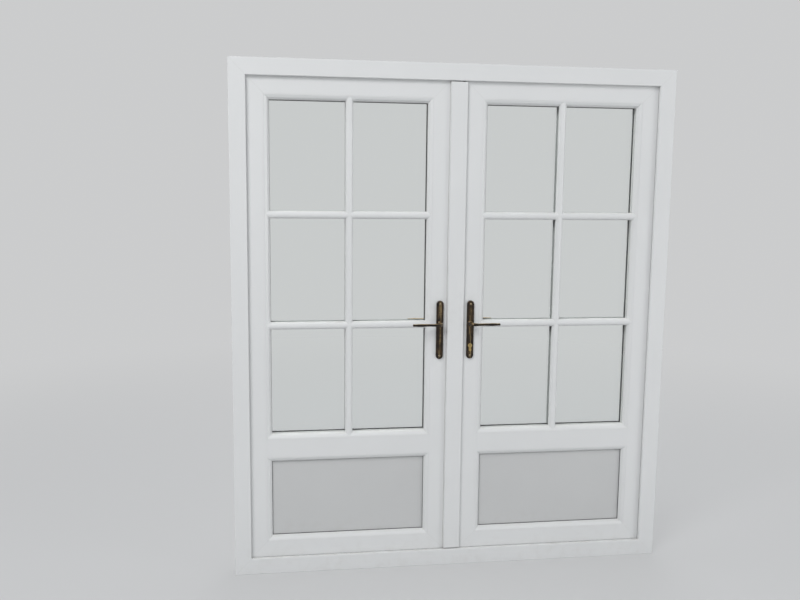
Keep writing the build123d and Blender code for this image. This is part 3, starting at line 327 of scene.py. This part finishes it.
def antique_bronze(name, worn_and_lit_top):
    """Dark lacquered bronze. Brass shows through in fine streaks, more where hands rub it. The
    brass on the plate's crown and on faces turned up is partly a painted highlight, and the
    plates' rims are darkened as a painted reflection.
    """
    made = Finish(name)
    cloud = made.noise(45, detail=6, roughness=0.65)
    fine = made.noise(420, detail=4, roughness=0.6)
    streaks = made.noise(1, stretch=(520, 520, 9), detail=4)
    front = abs(made.facing_y).step(0.75, 0.98)
    # Painted highlight, with some real polish: brass on the crown of each plate's face, as if it
    # mirrored bright light.
    crown_polish_and_sheen = abs(abs(made.x) - HANDLE_X).step(0.0105, 0.002) * front
    # Painted highlight, with wear: faces turned up take brass as lit tops would. The second
    # argument sets how much.
    top = made.facing_z.step(0.35, 0.95)
    rubbed_and_highlit = crown_polish_and_sheen * streaks.step(0.44, 0.62) * 0.55 + top * worn_and_lit_top + cloud * 0.35 + streaks * 0.2
    rubbed_and_highlit = rubbed_and_highlit.step(0.45, 1.05)
    # Painted reflection: a near-black rim along each plate's edges, as glossy edges mirroring a
    # dark room.
    rim = abs(abs(made.x) - HANDLE_X).step(0.0085, 0.0118) * front
    patina = made.mix(cloud.step(0.40, 0.66), PATINA_DARK, PATINA_BROWN)
    patina = made.mix(rim * 0.7, patina, DARK_RIM_REFLECTION)
    colour = made.mix(rubbed_and_highlit * 0.9, patina, BRASS_WEAR_AND_HIGHLIGHT)
    rough = 0.16 + fine * 0.08 + cloud * 0.08 + rubbed_and_highlit * 0.05
    made.relief(cloud, 0.0005, 0.18)
    made.relief(streaks, 0.00003, 0.4)
    made.relief(fine, 0.00004, 0.4)
    lacquer = {"Coat_Weight": 0.55, "Coat_Roughness": 0.06}
    return made.done(made.surface(Base_Color=colour, Roughness=rough, Metallic=1.0, **lacquer))


def screw_bronze():
    """The plates' screws, polished bare by the screwdriver."""
    made = Finish("screw_bronze")
    turned = made.noise(700, detail=3)
    colour = made.mix(turned.step(0.35, 0.7), SCREW_LIGHT, SCREW_DARK)
    made.relief(turned, 0.00003, 0.5)
    return made.done(made.surface(Base_Color=colour, Roughness=0.2 + turned * 0.1, Metallic=1.0))


def rolled_steel(name, tone, spangled):
    """Zinc plated or galvanised steel, rolled lengthwise."""
    made = Finish(name)
    rolled = made.noise(1, stretch=(500, 500, 3), detail=3)
    cloud = made.noise(30, detail=5, roughness=0.6)
    light = tuple(c * 1.1 for c in tone) + (1,)
    dark = tuple(c * 0.72 for c in tone) + (1,)
    pattern = made.cells(90).step(0.2, 0.8) if spangled else cloud.step(0.3, 0.7)
    colour = made.mix(pattern, light, dark)
    made.relief(rolled, 0.00004, 0.7)
    rough = 0.26 + rolled * 0.14 + cloud * 0.12
    return made.done(made.surface(Base_Color=colour, Roughness=rough, Metallic=0.95))


def cylinder_brass():
    """Satin brass of the lock cylinder."""
    made = Finish("cylinder_brass")
    turned = made.noise(1, stretch=(1500, 40, 1500), detail=2)
    cloud = made.noise(120, detail=4)
    colour = made.mix(cloud.step(0.35, 0.7), CYLINDER_LIGHT, CYLINDER_DARK)
    made.relief(turned, 0.00003, 0.6)
    return made.done(made.surface(Base_Color=colour, Roughness=0.25 + cloud * 0.16, Metallic=0.95))


def hinge_enamel():
    """White powder coat with its orange-peel skin."""
    made = Finish("hinge_enamel")
    cloud = made.noise(25, detail=4)
    colour = made.mix(cloud.step(0.35, 0.75), ENAMEL_LIGHT, ENAMEL_DARK)
    made.relief(made.noise(450, detail=2), 0.00012, 0.5)
    return made.done(made.surface(Base_Color=colour, Roughness=0.3 + cloud * 0.12, IOR=1.5))


def spacer_aluminium():
    """Matt pale aluminium of the glass unit's spacer."""
    made = Finish("spacer_aluminium")
    rolled = made.noise(1, stretch=(40, 900, 40), detail=2)
    made.relief(rolled, 0.00003, 0.5)
    colour = made.mix(rolled.step(0.3, 0.7), SPACER_LIGHT, SPACER_DARK)
    return made.done(made.surface(Base_Color=colour, Roughness=0.45 + rolled * 0.1, Metallic=0.25))


def window_glass():
    """Clear float glass that lets the lamps' light through."""
    made = Finish("window_glass")
    smear = made.noise(7, stretch=(1, 1, 0.5), detail=6, roughness=0.7).step(0.5, 0.85)
    clear = made.surface(
        Base_Color=GLASS_TINT, Roughness=smear * 0.03, IOR=1.5, Transmission_Weight=1.0
    )
    open_way = node(made.tree, "ShaderNodeBsdfTransparent", inputs={"Color": SHADOW_TINT})
    shadow = node(made.tree, "ShaderNodeLightPath", output="Is Shadow Ray")
    inputs = {0: shadow, 1: clear, 2: open_way}
    return made.done(node(made.tree, "ShaderNodeMixShader", inputs=inputs))


def paint(material, *names):
    """Gives CAD nodes their finish."""
    for name in names:
        mesh = nodes[name].data
        mesh.materials.clear()
        mesh.materials.append(material)


def both(*names):
    return [f"{hand}_{name}" for hand in ("right", "left") for name in names]


plate_bronze = antique_bronze("plate_bronze", 0.1)
lever_bronze = antique_bronze("lever_bronze", 0.6)
screw_metal = screw_bronze()
enamel = hinge_enamel()
bright_steel = rolled_steel("bright_steel", BRIGHT_STEEL, spangled=False)
galvanised = rolled_steel("galvanised_steel", GALVANISED, spangled=True)
trim_plastic = profile_plastic("trim_plastic", "Z")
bead_plastic = profile_plastic("bead_plastic", "Z", bead_mitres)

frame_upright = profile_plastic("frame_plastic_upright", "Z", frame_welds)
paint(frame_upright, "frame_left_jamb", "frame_right_jamb")
paint(profile_plastic("frame_plastic_level", "X", frame_welds), "frame_head", "frame_sill")
leaf_upright = profile_plastic("leaf_plastic_upright", "Z", leaf_welds)
paint(leaf_upright, *both("lock_stile", "hinge_stile"))
leaf_level = profile_plastic("leaf_plastic_level", "X", leaf_welds)
paint(leaf_level, *both("top_rail", "bottom_rail", "mid_rail"))
paint(trim_plastic, "mullion", "mullion_end_caps", *both("glazing_bars"))
paint(bead_plastic, *both("beads"))
paint(panel_plastic(), *both("panel"))
paint(rubber("seal_rubber"), "frame_seal", "mullion_seal", *both("flange_seal"))
paint(rubber("gasket_rubber", painted_light_inside=0.9), *both("gaskets", "packers"))
paint(plate_bronze, *both("handle_plates", "handle_screws"))
paint(lever_bronze, *both("levers"))
paint(bright_steel, *both("spindle"), "right_lock", "right_bolts", "right_latch", "left_gear")
paint(bright_steel, "left_top_bolt", "left_bottom_bolt", "lock_keeps", "shoot_bolt_keeps")
paint(bright_steel, "hinge_pins")
paint(galvanised, "frame_steel", *both("steel"))
paint(cylinder_brass(), "lock_cylinder", "plug_inside", "plug_outside")
paint(enamel, "hinge_frame_flags", *both("hinge_leaf_flags"))
paint(spacer_aluminium(), *both("unit_spacer"))
paint(window_glass(), *both("panes"))


# Modelling


def take_up(piece):
    """Selects this piece alone."""
    bpy.ops.object.select_all(action="DESELECT")
    piece.select_set(True)
    bpy.context.view_layer.objects.active = piece


def pick_faces(piece, wanted):
    """Enters edit mode with the faces selected whose middle and normal pass the test."""
    bpy.ops.object.mode_set(mode="EDIT")
    bpy.ops.mesh.select_mode(type="FACE")
    bpy.ops.mesh.select_all(action="DESELECT")
    bpy.ops.object.mode_set(mode="OBJECT")
    for face in piece.data.polygons:
        face.select = wanted(face.center, face.normal)
    bpy.ops.object.mode_set(mode="EDIT")


def settle(piece):
    """Puts the object's place and turn into its mesh."""
    take_up(piece)
    bpy.ops.object.transform_apply(location=True, rotation=True, scale=True)


def trim(piece, cutter):
    """Cuts one piece to fit another."""
    cut = piece.modifiers.new("cut", "BOOLEAN")
    cut.operation = "DIFFERENCE"
    cut.object = cutter
    take_up(piece)
    bpy.ops.object.modifier_apply(modifier=cut.name)


def join(name, pieces):
    take_up(pieces[0])
    for piece in pieces:
        piece.select_set(True)
    bpy.ops.object.join()
    pieces[0].name = name
    return pieces[0]


def mirror_image(piece, name):
    """The same piece on the other leaf."""
    image = bpy.data.objects.new(name, piece.data.copy())
    image.data.transform(Matrix.Scale(-1, 4, (1, 0, 0)))
    image.data.flip_normals()
    bpy.context.scene.collection.objects.link(image)
    return image


# Shares of a screw head's radius, rise and depth
HEAD_STEPS = ((0.10, 0.45), (0.15, 0.3), (0.2, 0.17), (0.2, 0.08))
RECESS_REACH, RECESS_WIDTH, RECESS_DEPTH = 0.58, 0.24, 0.6
RECESS_TAPER = (0.35, 1, 0.6)


def recess_bar(reach, width, face, depth):
    """One bar of a cross recess, tapered to its foot."""
    bpy.ops.mesh.primitive_cube_add(
        size=1, location=(0, face + depth / 2, 0), scale=(2 * reach, depth, width)
    )
    bar = bpy.context.object
    settle(bar)
    pick_faces(bar, lambda middle, normal: normal.y > 0.9)
    bpy.ops.transform.resize(value=RECESS_TAPER, center_override=(0, face + depth, 0))
    bpy.ops.object.mode_set(mode="OBJECT")
    return bar


def cross_head_screw(radius, depth, rise, shank_radius, length):
    """A screw with a cross recess. It faces the room, with its head's rim at the origin."""
    bpy.ops.object.select_all(action="DESELECT")
    bpy.ops.mesh.primitive_cylinder_add(
        vertices=36,
        radius=radius,
        depth=depth,
        location=(0, depth / 2, 0),
        rotation=(math.pi / 2, 0, 0),
    )
    screw = bpy.context.object
    settle(screw)
    pick_faces(screw, lambda middle, normal: normal.y > 0.9)
    bpy.ops.mesh.inset(thickness=radius - shank_radius)
    bpy.ops.mesh.extrude_region_move(TRANSFORM_OT_translate={"value": (0, length - depth, 0)})
    bpy.ops.object.mode_set(mode="OBJECT")
    pick_faces(screw, lambda middle, normal: normal.y < -0.9)
    for inset, share in HEAD_STEPS:
        bpy.ops.mesh.inset(thickness=inset * radius)
        bpy.ops.transform.translate(value=(0, -share * rise, 0))
    bpy.ops.object.mode_set(mode="OBJECT")
    for spin in (0, math.pi / 2):
        reach, width = RECESS_REACH * radius, RECESS_WIDTH * radius
        bar = recess_bar(reach, width, -1.2 * rise, 1.2 * rise + RECESS_DEPTH * depth)
        bar.data.transform(Matrix.Rotation(spin, 4, "Y"))
        trim(screw, bar)
        bpy.data.objects.remove(bar)
    take_up(screw)
    bpy.ops.object.shade_smooth_by_angle(angle=math.radians(40))
    return screw


FIRST_SPIN, SPIN_STEP = 12, 37  # degrees, so that the screws' slots don't line up


def copies(original, name, spots, turn=0, axis="Z"):
    """One piece made of turned copies of another at these places, each spun a little further."""
    made = []
    towards = Matrix.Rotation(math.radians(turn), 4, axis)
    for count, spot in enumerate(spots):
        copy = bpy.data.objects.new(name, original.data.copy())
        spin = Matrix.Rotation(math.radians(FIRST_SPIN + SPIN_STEP * count), 4, "Y")
        copy.data.transform(Matrix.Translation(spot) @ towards @ spin)
        bpy.context.scene.collection.objects.link(copy)
        made.append(copy)
    return join(name, made)


def dress(piece, body, material):
    """Hands a finished piece to its body, with its finish."""
    piece.data.materials.clear()
    piece.data.materials.append(material)
    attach(piece, body)


# Glazing beads and bars

SIGHT = 0.020  # from the glazing seat to the sight line
GASKET_LIP = 0.0015  # how far a gasket shows past the sight line
INNER_SEAL_END = 0.0045  # the cutters of both gaskets run a little into the glass
OUTER_SEAL_ENDS = (0.035, 0.0315)
LEG_CHAMFER, LEG_DEPTH = 0.010, 0.0185  # of the leaf's fixed leg outside the glass
BEAD_CURVE = (  # reach from the seat and depth behind the bead's face
    (0, 0.0005),
    (0.0004, 0),
    (0.0028, 0),
    (0.0034, 0.0003),
    (0.0112, 0.0040),
    (0.0128, 0.0052),
    (0.0141, 0.0068),
    (0.0192, 0.0136),
    (0.0198, 0.0146),
    (SIGHT, 0.0156),
)
BAR_HALF = 0.0155  # half a bar's width
BAR_ROUND = 0.0170  # height of its rounded top, which stands on a low straight foot
BAR_FOOT = 0.0015
BAR_SHORTER = 0.002  # than the glass
MIDDLE_SPAN = 0.01  # takes in the middle of the glass or the panel


def moulding(name, ends, back, curve):
    """A mitred moulding round the glass or the panel, from its back to a curve that gives
    its depth at growing distances from the glazing seat."""
    middle = (sum(SEATS) / 2, (curve[0][1] + back) / 2, sum(ends) / 2)
    inward = 1 if back > curve[0][1] else -1
    size = (SEATS[1] - SEATS[0], abs(back - curve[0][1]), ends[1] - ends[0])
    bpy.ops.object.select_all(action="DESELECT")
    bpy.ops.mesh.primitive_cube_add(size=1, location=middle, scale=size)
    ring = bpy.context.object
    ring.name = name
    settle(ring)
    pick_faces(ring, lambda spot, normal: normal.y * inward < -0.9)
    for (reach, depth), (next_reach, next_depth) in zip(curve, curve[1:]):
        bpy.ops.mesh.inset(thickness=next_reach - reach, depth=(depth - next_depth) * inward)
    bpy.ops.object.mode_set(mode="OBJECT")
    pick_faces(ring, lambda spot, normal: normal.y * inward > 0.9)
    bpy.ops.mesh.inset(thickness=curve[-1][0])
    bpy.ops.object.mode_set(mode="OBJECT")
    pick_faces(
        ring,
        lambda spot, normal: abs(spot.x - middle[0]) < MIDDLE_SPAN
        and abs(spot.z - middle[2]) < MIDDLE_SPAN,
    )
    bpy.ops.mesh.bridge_edge_loops()
    bpy.ops.mesh.select_all(action="SELECT")
    bpy.ops.mesh.normals_make_consistent(inside=False)
    bpy.ops.object.mode_set(mode="OBJECT")
    bpy.ops.object.shade_smooth_by_angle(angle=math.radians(30))
    return ring


def bead(name, ends):
    curve = [(reach, BEAD_FRONT + depth) for reach, depth in BEAD_CURVE]
    return moulding(name, ends, BEAD_BACK, curve)


def glazing_bar(face, outward, centre, length, turn):
    """A rounded bar, flat where it is stuck to one face of the glass."""
    base = face + outward * BAR_FOOT
    bpy.ops.object.select_all(action="DESELECT")
    bpy.ops.mesh.primitive_cylinder_add(
        vertices=48,
        radius=1,
        depth=length,
        location=(centre[0], base, centre[1]),
        rotation=(0, turn, 0),
        scale=(BAR_HALF, BAR_ROUND, 1),
    )
    bar = bpy.context.object
    settle(bar)
    bpy.ops.object.mode_set(mode="EDIT")
    bpy.ops.mesh.select_all(action="SELECT")
    bpy.ops.mesh.bisect(
        plane_co=(0, base, 0), plane_no=(0, -outward, 0), use_fill=True, clear_outer=True
    )
    bpy.ops.object.mode_set(mode="OBJECT")
    pick_faces(bar, lambda spot, normal: normal.y * outward < -0.9)
    bpy.ops.mesh.extrude_region_move(TRANSFORM_OT_translate={"value": (0, face - base, 0)})
    bpy.ops.object.mode_set(mode="OBJECT")
    return bar


def build_bars(face, outward, cutters):
    """The bars on one face of a leaf's glass, cut to fit what surrounds it and each other."""
    middle = sum(SEATS) / 2
    step = (GLASS_ENDS[1] - GLASS_ENDS[0] - 2 * SIGHT) / 3
    height = sum(GLASS_ENDS) / 2
    tall, wide = [ends[1] - ends[0] - BAR_SHORTER for ends in (GLASS_ENDS, SEATS)]
    upright = glazing_bar(face, outward, (middle, height), tall, 0)
    rows = [
        glazing_bar(face, outward, (middle, z), wide, math.pi / 2)
        for z in (height - step / 2, height + step / 2)
    ]
    for row in rows:
        trim(row, upright)
    for bar in [upright, *rows]:
        for cutter in cutters:
            trim(bar, cutter)
    return [upright, *rows]


def build_glazing():
    """Beads and bars with their rounded section, in place of the plain ones."""
    glass_bead = bead("glass_bead", GLASS_ENDS)
    lip = SIGHT + GASKET_LIP
    seal = [(0, BEAD_BACK), (lip, BEAD_BACK)]
    inner_seal = moulding("inner_seal", GLASS_ENDS, INNER_SEAL_END, seal)
    leg = [(0, LEAF_OUT), (LEG_CHAMFER, LEAF_OUT), (SIGHT, LEAF_OUT - LEG_CHAMFER)]
    outer_leg = moulding("outer_leg", GLASS_ENDS, LEAF_OUT - LEG_DEPTH, leg)
    outside, end = OUTER_SEAL_ENDS
    outer_seal = moulding("outer_seal", GLASS_ENDS, end, [(0, outside), (lip, outside)])
    pieces = build_bars(GLASS_FACES[0], -1, [glass_bead, inner_seal])
    pieces += build_bars(GLASS_FACES[1], 1, [outer_leg, outer_seal])
    for cutter in (inner_seal, outer_leg, outer_seal):
        bpy.data.objects.remove(cutter)
    bars = join("right_rounded_bars", pieces)
    take_up(bars)
    bpy.ops.object.shade_smooth_by_angle(angle=math.radians(30))
    beads = join("right_rounded_beads", [glass_bead, bead("panel_bead", PANEL_ENDS)])
    finishes = ((bars, "glazing_bars", trim_plastic), (beads, "beads", bead_plastic))
    for piece, node_name, finish in finishes:
        image = mirror_image(piece, piece.name.replace("right", "left"))
        for hand, made in (("right", piece), ("left", image)):
            dress(made, f"{hand}_leaf", finish)
            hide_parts(f"{hand}_{node_name}")


# Mullion and levers

SHOULDER_WIDTH, SHOULDER_DROP = 0.009, 0.0045
TIP_LENGTH = 0.013
TIP_STEPS = (  # advance, and the section's size against the one before
    (0.0035, 1.03),
    (0.0035, 1.03),
    (0.0030, 0.97),
    (0.0015, 0.86),
    (0.0010, 0.72),
    (0.0005, 0.6),
)
WELD_REACH = 0.00001


def welded_copy(node_name, name):
    """A copy of a node with its loose triangles joined, to be shaped further."""
    piece = bpy.data.objects.new(name, nodes[node_name].data.copy())
    bpy.context.scene.collection.objects.link(piece)
    take_up(piece)
    bpy.ops.object.mode_set(mode="EDIT")
    bpy.ops.mesh.select_all(action="SELECT")
    bpy.ops.mesh.remove_doubles(threshold=WELD_REACH)
    bpy.ops.object.mode_set(mode="OBJECT")
    return piece


def saw_off(piece, spot, normal):
    """Takes off what lies beyond a plane and closes the cut."""
    take_up(piece)
    bpy.ops.object.mode_set(mode="EDIT")
    bpy.ops.mesh.select_all(action="SELECT")
    bpy.ops.mesh.bisect(plane_co=spot, plane_no=normal, use_fill=True, clear_outer=True)
    bpy.ops.object.mode_set(mode="OBJECT")


def build_shoulders():
    """The mullion and its end caps with sloping shoulders each side of the face."""
    names = (("mullion", "shouldered_mullion"), ("mullion_end_caps", "shouldered_end_caps"))
    for node_name, name in names:
        piece = welded_copy(node_name, name)
        for side in (-1, 1):
            spot = (side * (abs(MULLION_EDGE) - SHOULDER_WIDTH), MULLION_FACE, 0)
            saw_off(piece, spot, (side * SHOULDER_DROP, -SHOULDER_WIDTH, 0))
        bpy.ops.object.shade_smooth_by_angle(angle=math.radians(18))
        dress(piece, "left_leaf", trim_plastic)
        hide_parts(node_name)


def build_levers():
    """The levers with their blunt, slightly flared tips."""
    levers = welded_copy("right_levers", "right_blunt_levers")
    cut = LEVER_TIP - TIP_LENGTH
    saw_off(levers, (cut, 0, 0), (1, 0, 0))
    for side in (-1, 1):
        pick_faces(
            levers,
            lambda spot, normal: normal.x > 0.9
            and spot.y * side > 0
            and spot.x > cut - 10 * WELD_REACH,
        )
        middle = next(f.center for f in levers.data.polygons if f.select)
        reach = cut
        for step, share in TIP_STEPS:
            reach += step
            bpy.ops.mesh.extrude_region_move(TRANSFORM_OT_translate={"value": (step, 0, 0)})
            centre = (reach, middle.y, middle.z)
            bpy.ops.transform.resize(value=(1, share, share), center_override=centre)
        bpy.ops.object.mode_set(mode="OBJECT")
    take_up(levers)
    bpy.ops.object.shade_smooth_by_angle(angle=math.radians(35))
    image = mirror_image(levers, "left_blunt_levers")
    for hand, made in (("right", levers), ("left", image)):
        dress(made, f"{hand}_lever", lever_bronze)
        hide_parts(f"{hand}_levers")


# Screws and drain hoods

# Screws: the head's radius, depth and rise, then the shank's radius and the whole length
STRIP_SCREW = (0.0034, 0.0018, 0.0002, 0.0019, 0.010)
KEEP_SCREW = (0.0029, 0.0016, 0.0002, 0.0017, 0.010)
SHOOT_KEEP_SCREW = (0.0019, 0.0014, 0.0002, 0.0012, 0.010)
HINGE_SCREW = (0.0042, 0.0018, 0.0007, 0.0021, 0.012)
PLATE_SCREW = (0.0024, 0.0011, 0.0025)  # its radius and length are read from the model
STRIP_SCREW_HEIGHTS = (0.114, 0.369, 0.491, 0.899, 1.116, 1.589, 1.711, 1.966)
KEEP_HEIGHTS = (0.430, 0.995, 1.075, 1.650)
KEEP_SCREW_OFFSETS = (-0.022, 0.022)
SHOOT_KEEP_THICK = 0.0025
SHOOT_KEEP_SCREW_OFFSET = 0.00655
HINGE_HALF, HINGE_PLATE = 0.050, 0.005  # half a hinge's height, and its flags' thickness
LEAF_FLAG_SCREWS = ((0.012, 0.038), (0.030, 0.020), (0.012, 0), (0.030, -0.020), (0.012, -0.038))
FRAME_FLAG_SCREWS = (-0.037, 0, 0.037)
FRAME_FLAG_ROW = 0.010  # from the edge of a frame flag to its row of screws

HOOD_SIZE = (0.040, 0.0044, 0.013)
HOOD_MIDDLE = 0.0125
HOOD_SLOPE, HOOD_LOW = (0.88, 1, 0.62), 0.009  # the front is smaller, about a point low down
HOOD_WALL, HOOD_HOLLOW, HOOD_ROUND = 0.0008, 0.008, 0.0005
HOOD_FROM_END = 0.22


def build_plate_screws():
    """The screws that hold the handle plates, in place of the plain ones."""
    low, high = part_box("right_handle_screws")
    radius = (high.x - low.x) / 2
    screw = cross_head_screw(radius, *PLATE_SCREW, high.y - low.y)
    for hand, side in (("right", 1), ("left", -1)):
        spots = [(side * HANDLE_X, low.y, z) for z in (low.z + radius, high.z - radius)]
        screws = copies(screw, f"{hand}_plate_screws", spots)
        dress(screws, f"{hand}_leaf", screw_metal)
        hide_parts(f"{hand}_handle_screws")
    bpy.data.objects.remove(screw)


def build_lock_screws():
    """Screws in the lock's long strip, in its keeps and in the shoot bolts' keeps."""
    screw = cross_head_screw(*STRIP_SCREW)
    spots = [(STRIP_FACE, GROOVE_Y, z) for z in STRIP_SCREW_HEIGHTS]
    dress(copies(screw, "strip_screws", spots, -90), "right_leaf", bright_steel)
    bpy.data.objects.remove(screw)
    screw = cross_head_screw(*KEEP_SCREW)
    spots = [(KEEP_FACE, GROOVE_Y, z + end) for z in KEEP_HEIGHTS for end in KEEP_SCREW_OFFSETS]
    dress(copies(screw, "keep_screws", spots, 90), "left_leaf", bright_steel)
    bpy.data.objects.remove(screw)
    screw = cross_head_screw(*SHOOT_KEEP_SCREW)
    low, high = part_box("shoot_bolt_keeps")
    for name, z, turn in (
        ("sill_keep_screws", low.z + SHOOT_KEEP_THICK, -90),
        ("head_keep_screws", high.z - SHOOT_KEEP_THICK, 90),
    ):
        spots = [(ROD_X + side * SHOOT_KEEP_SCREW_OFFSET, GROOVE_Y, z) for side in (-1, 1)]
        dress(copies(screw, name, spots, turn, "X"), "frame", bright_steel)
    bpy.data.objects.remove(screw)


def build_hinge_screws():
    """Painted screws in the flags of the hinges, outside."""
    screw = cross_head_screw(*HINGE_SCREW)
    low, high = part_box("right_hinge_leaf_flags")
    heights = (low.z + HINGE_HALF, (low.z + high.z) / 2, high.z - HINGE_HALF)
    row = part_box("hinge_frame_flags")[1].x - FRAME_FLAG_ROW
    leaf_face, frame_face = LEAF_OUT + HINGE_PLATE, FRAME_OUT + HINGE_PLATE
    leaf_spots = [(low.x + x, leaf_face, z + up) for z in heights for x, up in LEAF_FLAG_SCREWS]
    frame_spots = [(row, frame_face, z + up) for z in heights for up in FRAME_FLAG_SCREWS]
    for spots, name, bodies in (
        (leaf_spots, "leaf_flag_screws", ("right_leaf", "left_leaf")),
        (frame_spots, "frame_flag_screws", ("frame", "frame")),
    ):
        right = copies(screw, f"right_{name}", spots, 180)
        left = mirror_image(right, f"left_{name}")
        for screws, body in zip((right, left), bodies):
            dress(screws, body, enamel)
    bpy.data.objects.remove(screw)


def build_drain_hoods():
    """Small hoods over the drainage slots outside the sill, open underneath."""
    bpy.ops.object.select_all(action="DESELECT")
    place = (0, HOOD_SIZE[1] / 2, HOOD_MIDDLE)
    bpy.ops.mesh.primitive_cube_add(size=1, location=place, scale=HOOD_SIZE)
    hood = bpy.context.object
    settle(hood)
    pick_faces(hood, lambda middle, normal: normal.y > 0.9)
    bpy.ops.transform.resize(value=HOOD_SLOPE, center_override=(0, HOOD_SIZE[1], HOOD_LOW))
    bpy.ops.object.mode_set(mode="OBJECT")
    pick_faces(hood, lambda middle, normal: normal.z < -0.9)
    bpy.ops.mesh.inset(thickness=HOOD_WALL)
    bpy.ops.mesh.extrude_region_move(TRANSFORM_OT_translate={"value": (0, 0, HOOD_HOLLOW)})
    bpy.ops.object.mode_set(mode="OBJECT")
    edges = hood.modifiers.new("edges", "BEVEL")
    edges.width = HOOD_ROUND
    edges.segments = 3
    edges.limit_method = "ANGLE"
    take_up(hood)
    bpy.ops.object.modifier_apply(modifier=edges.name)
    bpy.ops.object.shade_smooth_by_angle(angle=math.radians(40))
    spots = (-HALF_WIDTH + HOOD_FROM_END, 0, HALF_WIDTH - HOOD_FROM_END)
    for count, x in enumerate(spots):
        copy = bpy.data.objects.new(f"drain_hood_{count + 1}", hood.data.copy())
        copy.data.transform(Matrix.Translation((x, FRAME_OUT, 0)))
        bpy.context.scene.collection.objects.link(copy)
        dress(copy, "frame", trim_plastic)
    bpy.data.objects.remove(hood)


build_glazing()
build_shoulders()
build_levers()
build_plate_screws()
build_lock_screws()
build_hinge_screws()
build_drain_hoods()


# Studio

PAPER = (0.60, 0.605, 0.61, 1)
AIR, AIR_STRENGTH = (0.93, 0.96, 1.0, 1), 0.40
FLOOR_SIZE, FLOOR_DROP = 80, 0.0005
PAPER_FADE = (1.4, 5.5)  # distances over which the floor turns into the background
LAMPS = (  # name, place, point that it shines on, size, power in watts
    ("key", (-3.0, -4.0, 4.9), (0, 0, 1.0), (2.6, 2.6), 170),
    ("fill", (4.7, -3.3, 1.7), (0, 0, 1.0), (3.0, 3.0), 66),
    ("overhead", (0.1, 0.7, 7.0), (0.1, 0, 0.4), (4.4, 2.0), 72),
    ("rear", (1.0, 4.2, 3.4), (0, 0.4, 0.8), (4.0, 2.0), 58),
)


def studio_paper():
    """The floor. It keeps the doors' shadow and turns into the plain background further out."""
    made = Finish("studio_paper")
    paper = made.surface(Base_Color=PAPER, Roughness=0.9)
    plain = node(made.tree, "ShaderNodeEmission", inputs={"Color": PAPER, "Strength": 1.0})
    far = (made.x * made.x + made.y * made.y).maths("SQRT").step(*PAPER_FADE)
    share = shows_studio(made.tree) * (0.45 + far * 0.55)
    return made.done(node(made.tree, "ShaderNodeMixShader", inputs={0: share, 1: paper, 2: plain}))


def build_floor():
    bpy.ops.object.select_all(action="DESELECT")
    bpy.ops.mesh.primitive_plane_add(size=FLOOR_SIZE, location=(0, 0, -FLOOR_DROP))
    floor = bpy.context.object
    floor.name = "studio_floor"
    settle(floor)
    floor.data.materials.append(studio_paper())


def lamp(name, place, target, size, power):
    """A soft square lamp that shines on a point. It shows in gloss alone."""
    light = bpy.data.lights.new(name, "AREA")
    light.shape = "RECTANGLE"
    light.size, light.size_y = size
    light.energy = power
    holder = bpy.data.objects.new(name, light)
    holder.location = place
    holder.rotation_euler = (Vector(target) - Vector(place)).to_track_quat("-Z", "Y").to_euler()
    holder.visible_camera = False
    holder.visible_transmission = False
    bpy.context.scene.collection.objects.link(holder)


def build_air():
    """Even light from all round, behind which the plain background shows."""
    world = bpy.data.worlds.new("studio_air")
    bpy.context.scene.world = world
    world.use_nodes = True
    tree = world.node_tree
    tree.nodes.clear()
    air = node(tree, "ShaderNodeBackground", inputs={"Color": AIR, "Strength": AIR_STRENGTH})
    plain = node(tree, "ShaderNodeBackground", inputs={"Color": PAPER, "Strength": 1.0})
    mixed = node(tree, "ShaderNodeMixShader", inputs={0: shows_studio(tree), 1: air, 2: plain})
    end = tree.nodes.new("ShaderNodeOutputWorld")
    tree.links.new(mixed.socket, end.inputs["Surface"])


def build_camera():
    data = bpy.data.cameras.new("camera")
    data.lens = CAMERA_LENS
    data.sensor_width = 36
    camera = bpy.data.objects.new("camera", data)
    camera.location = CAMERA_PLACE
    camera.rotation_euler = [math.radians(a) for a in CAMERA_TURN]
    bpy.context.scene.collection.objects.link(camera)
    bpy.context.scene.camera = camera


build_floor()
for settings in LAMPS:
    lamp(*settings)
build_air()
build_camera()
bpy.context.scene.view_settings.view_transform = "Standard"
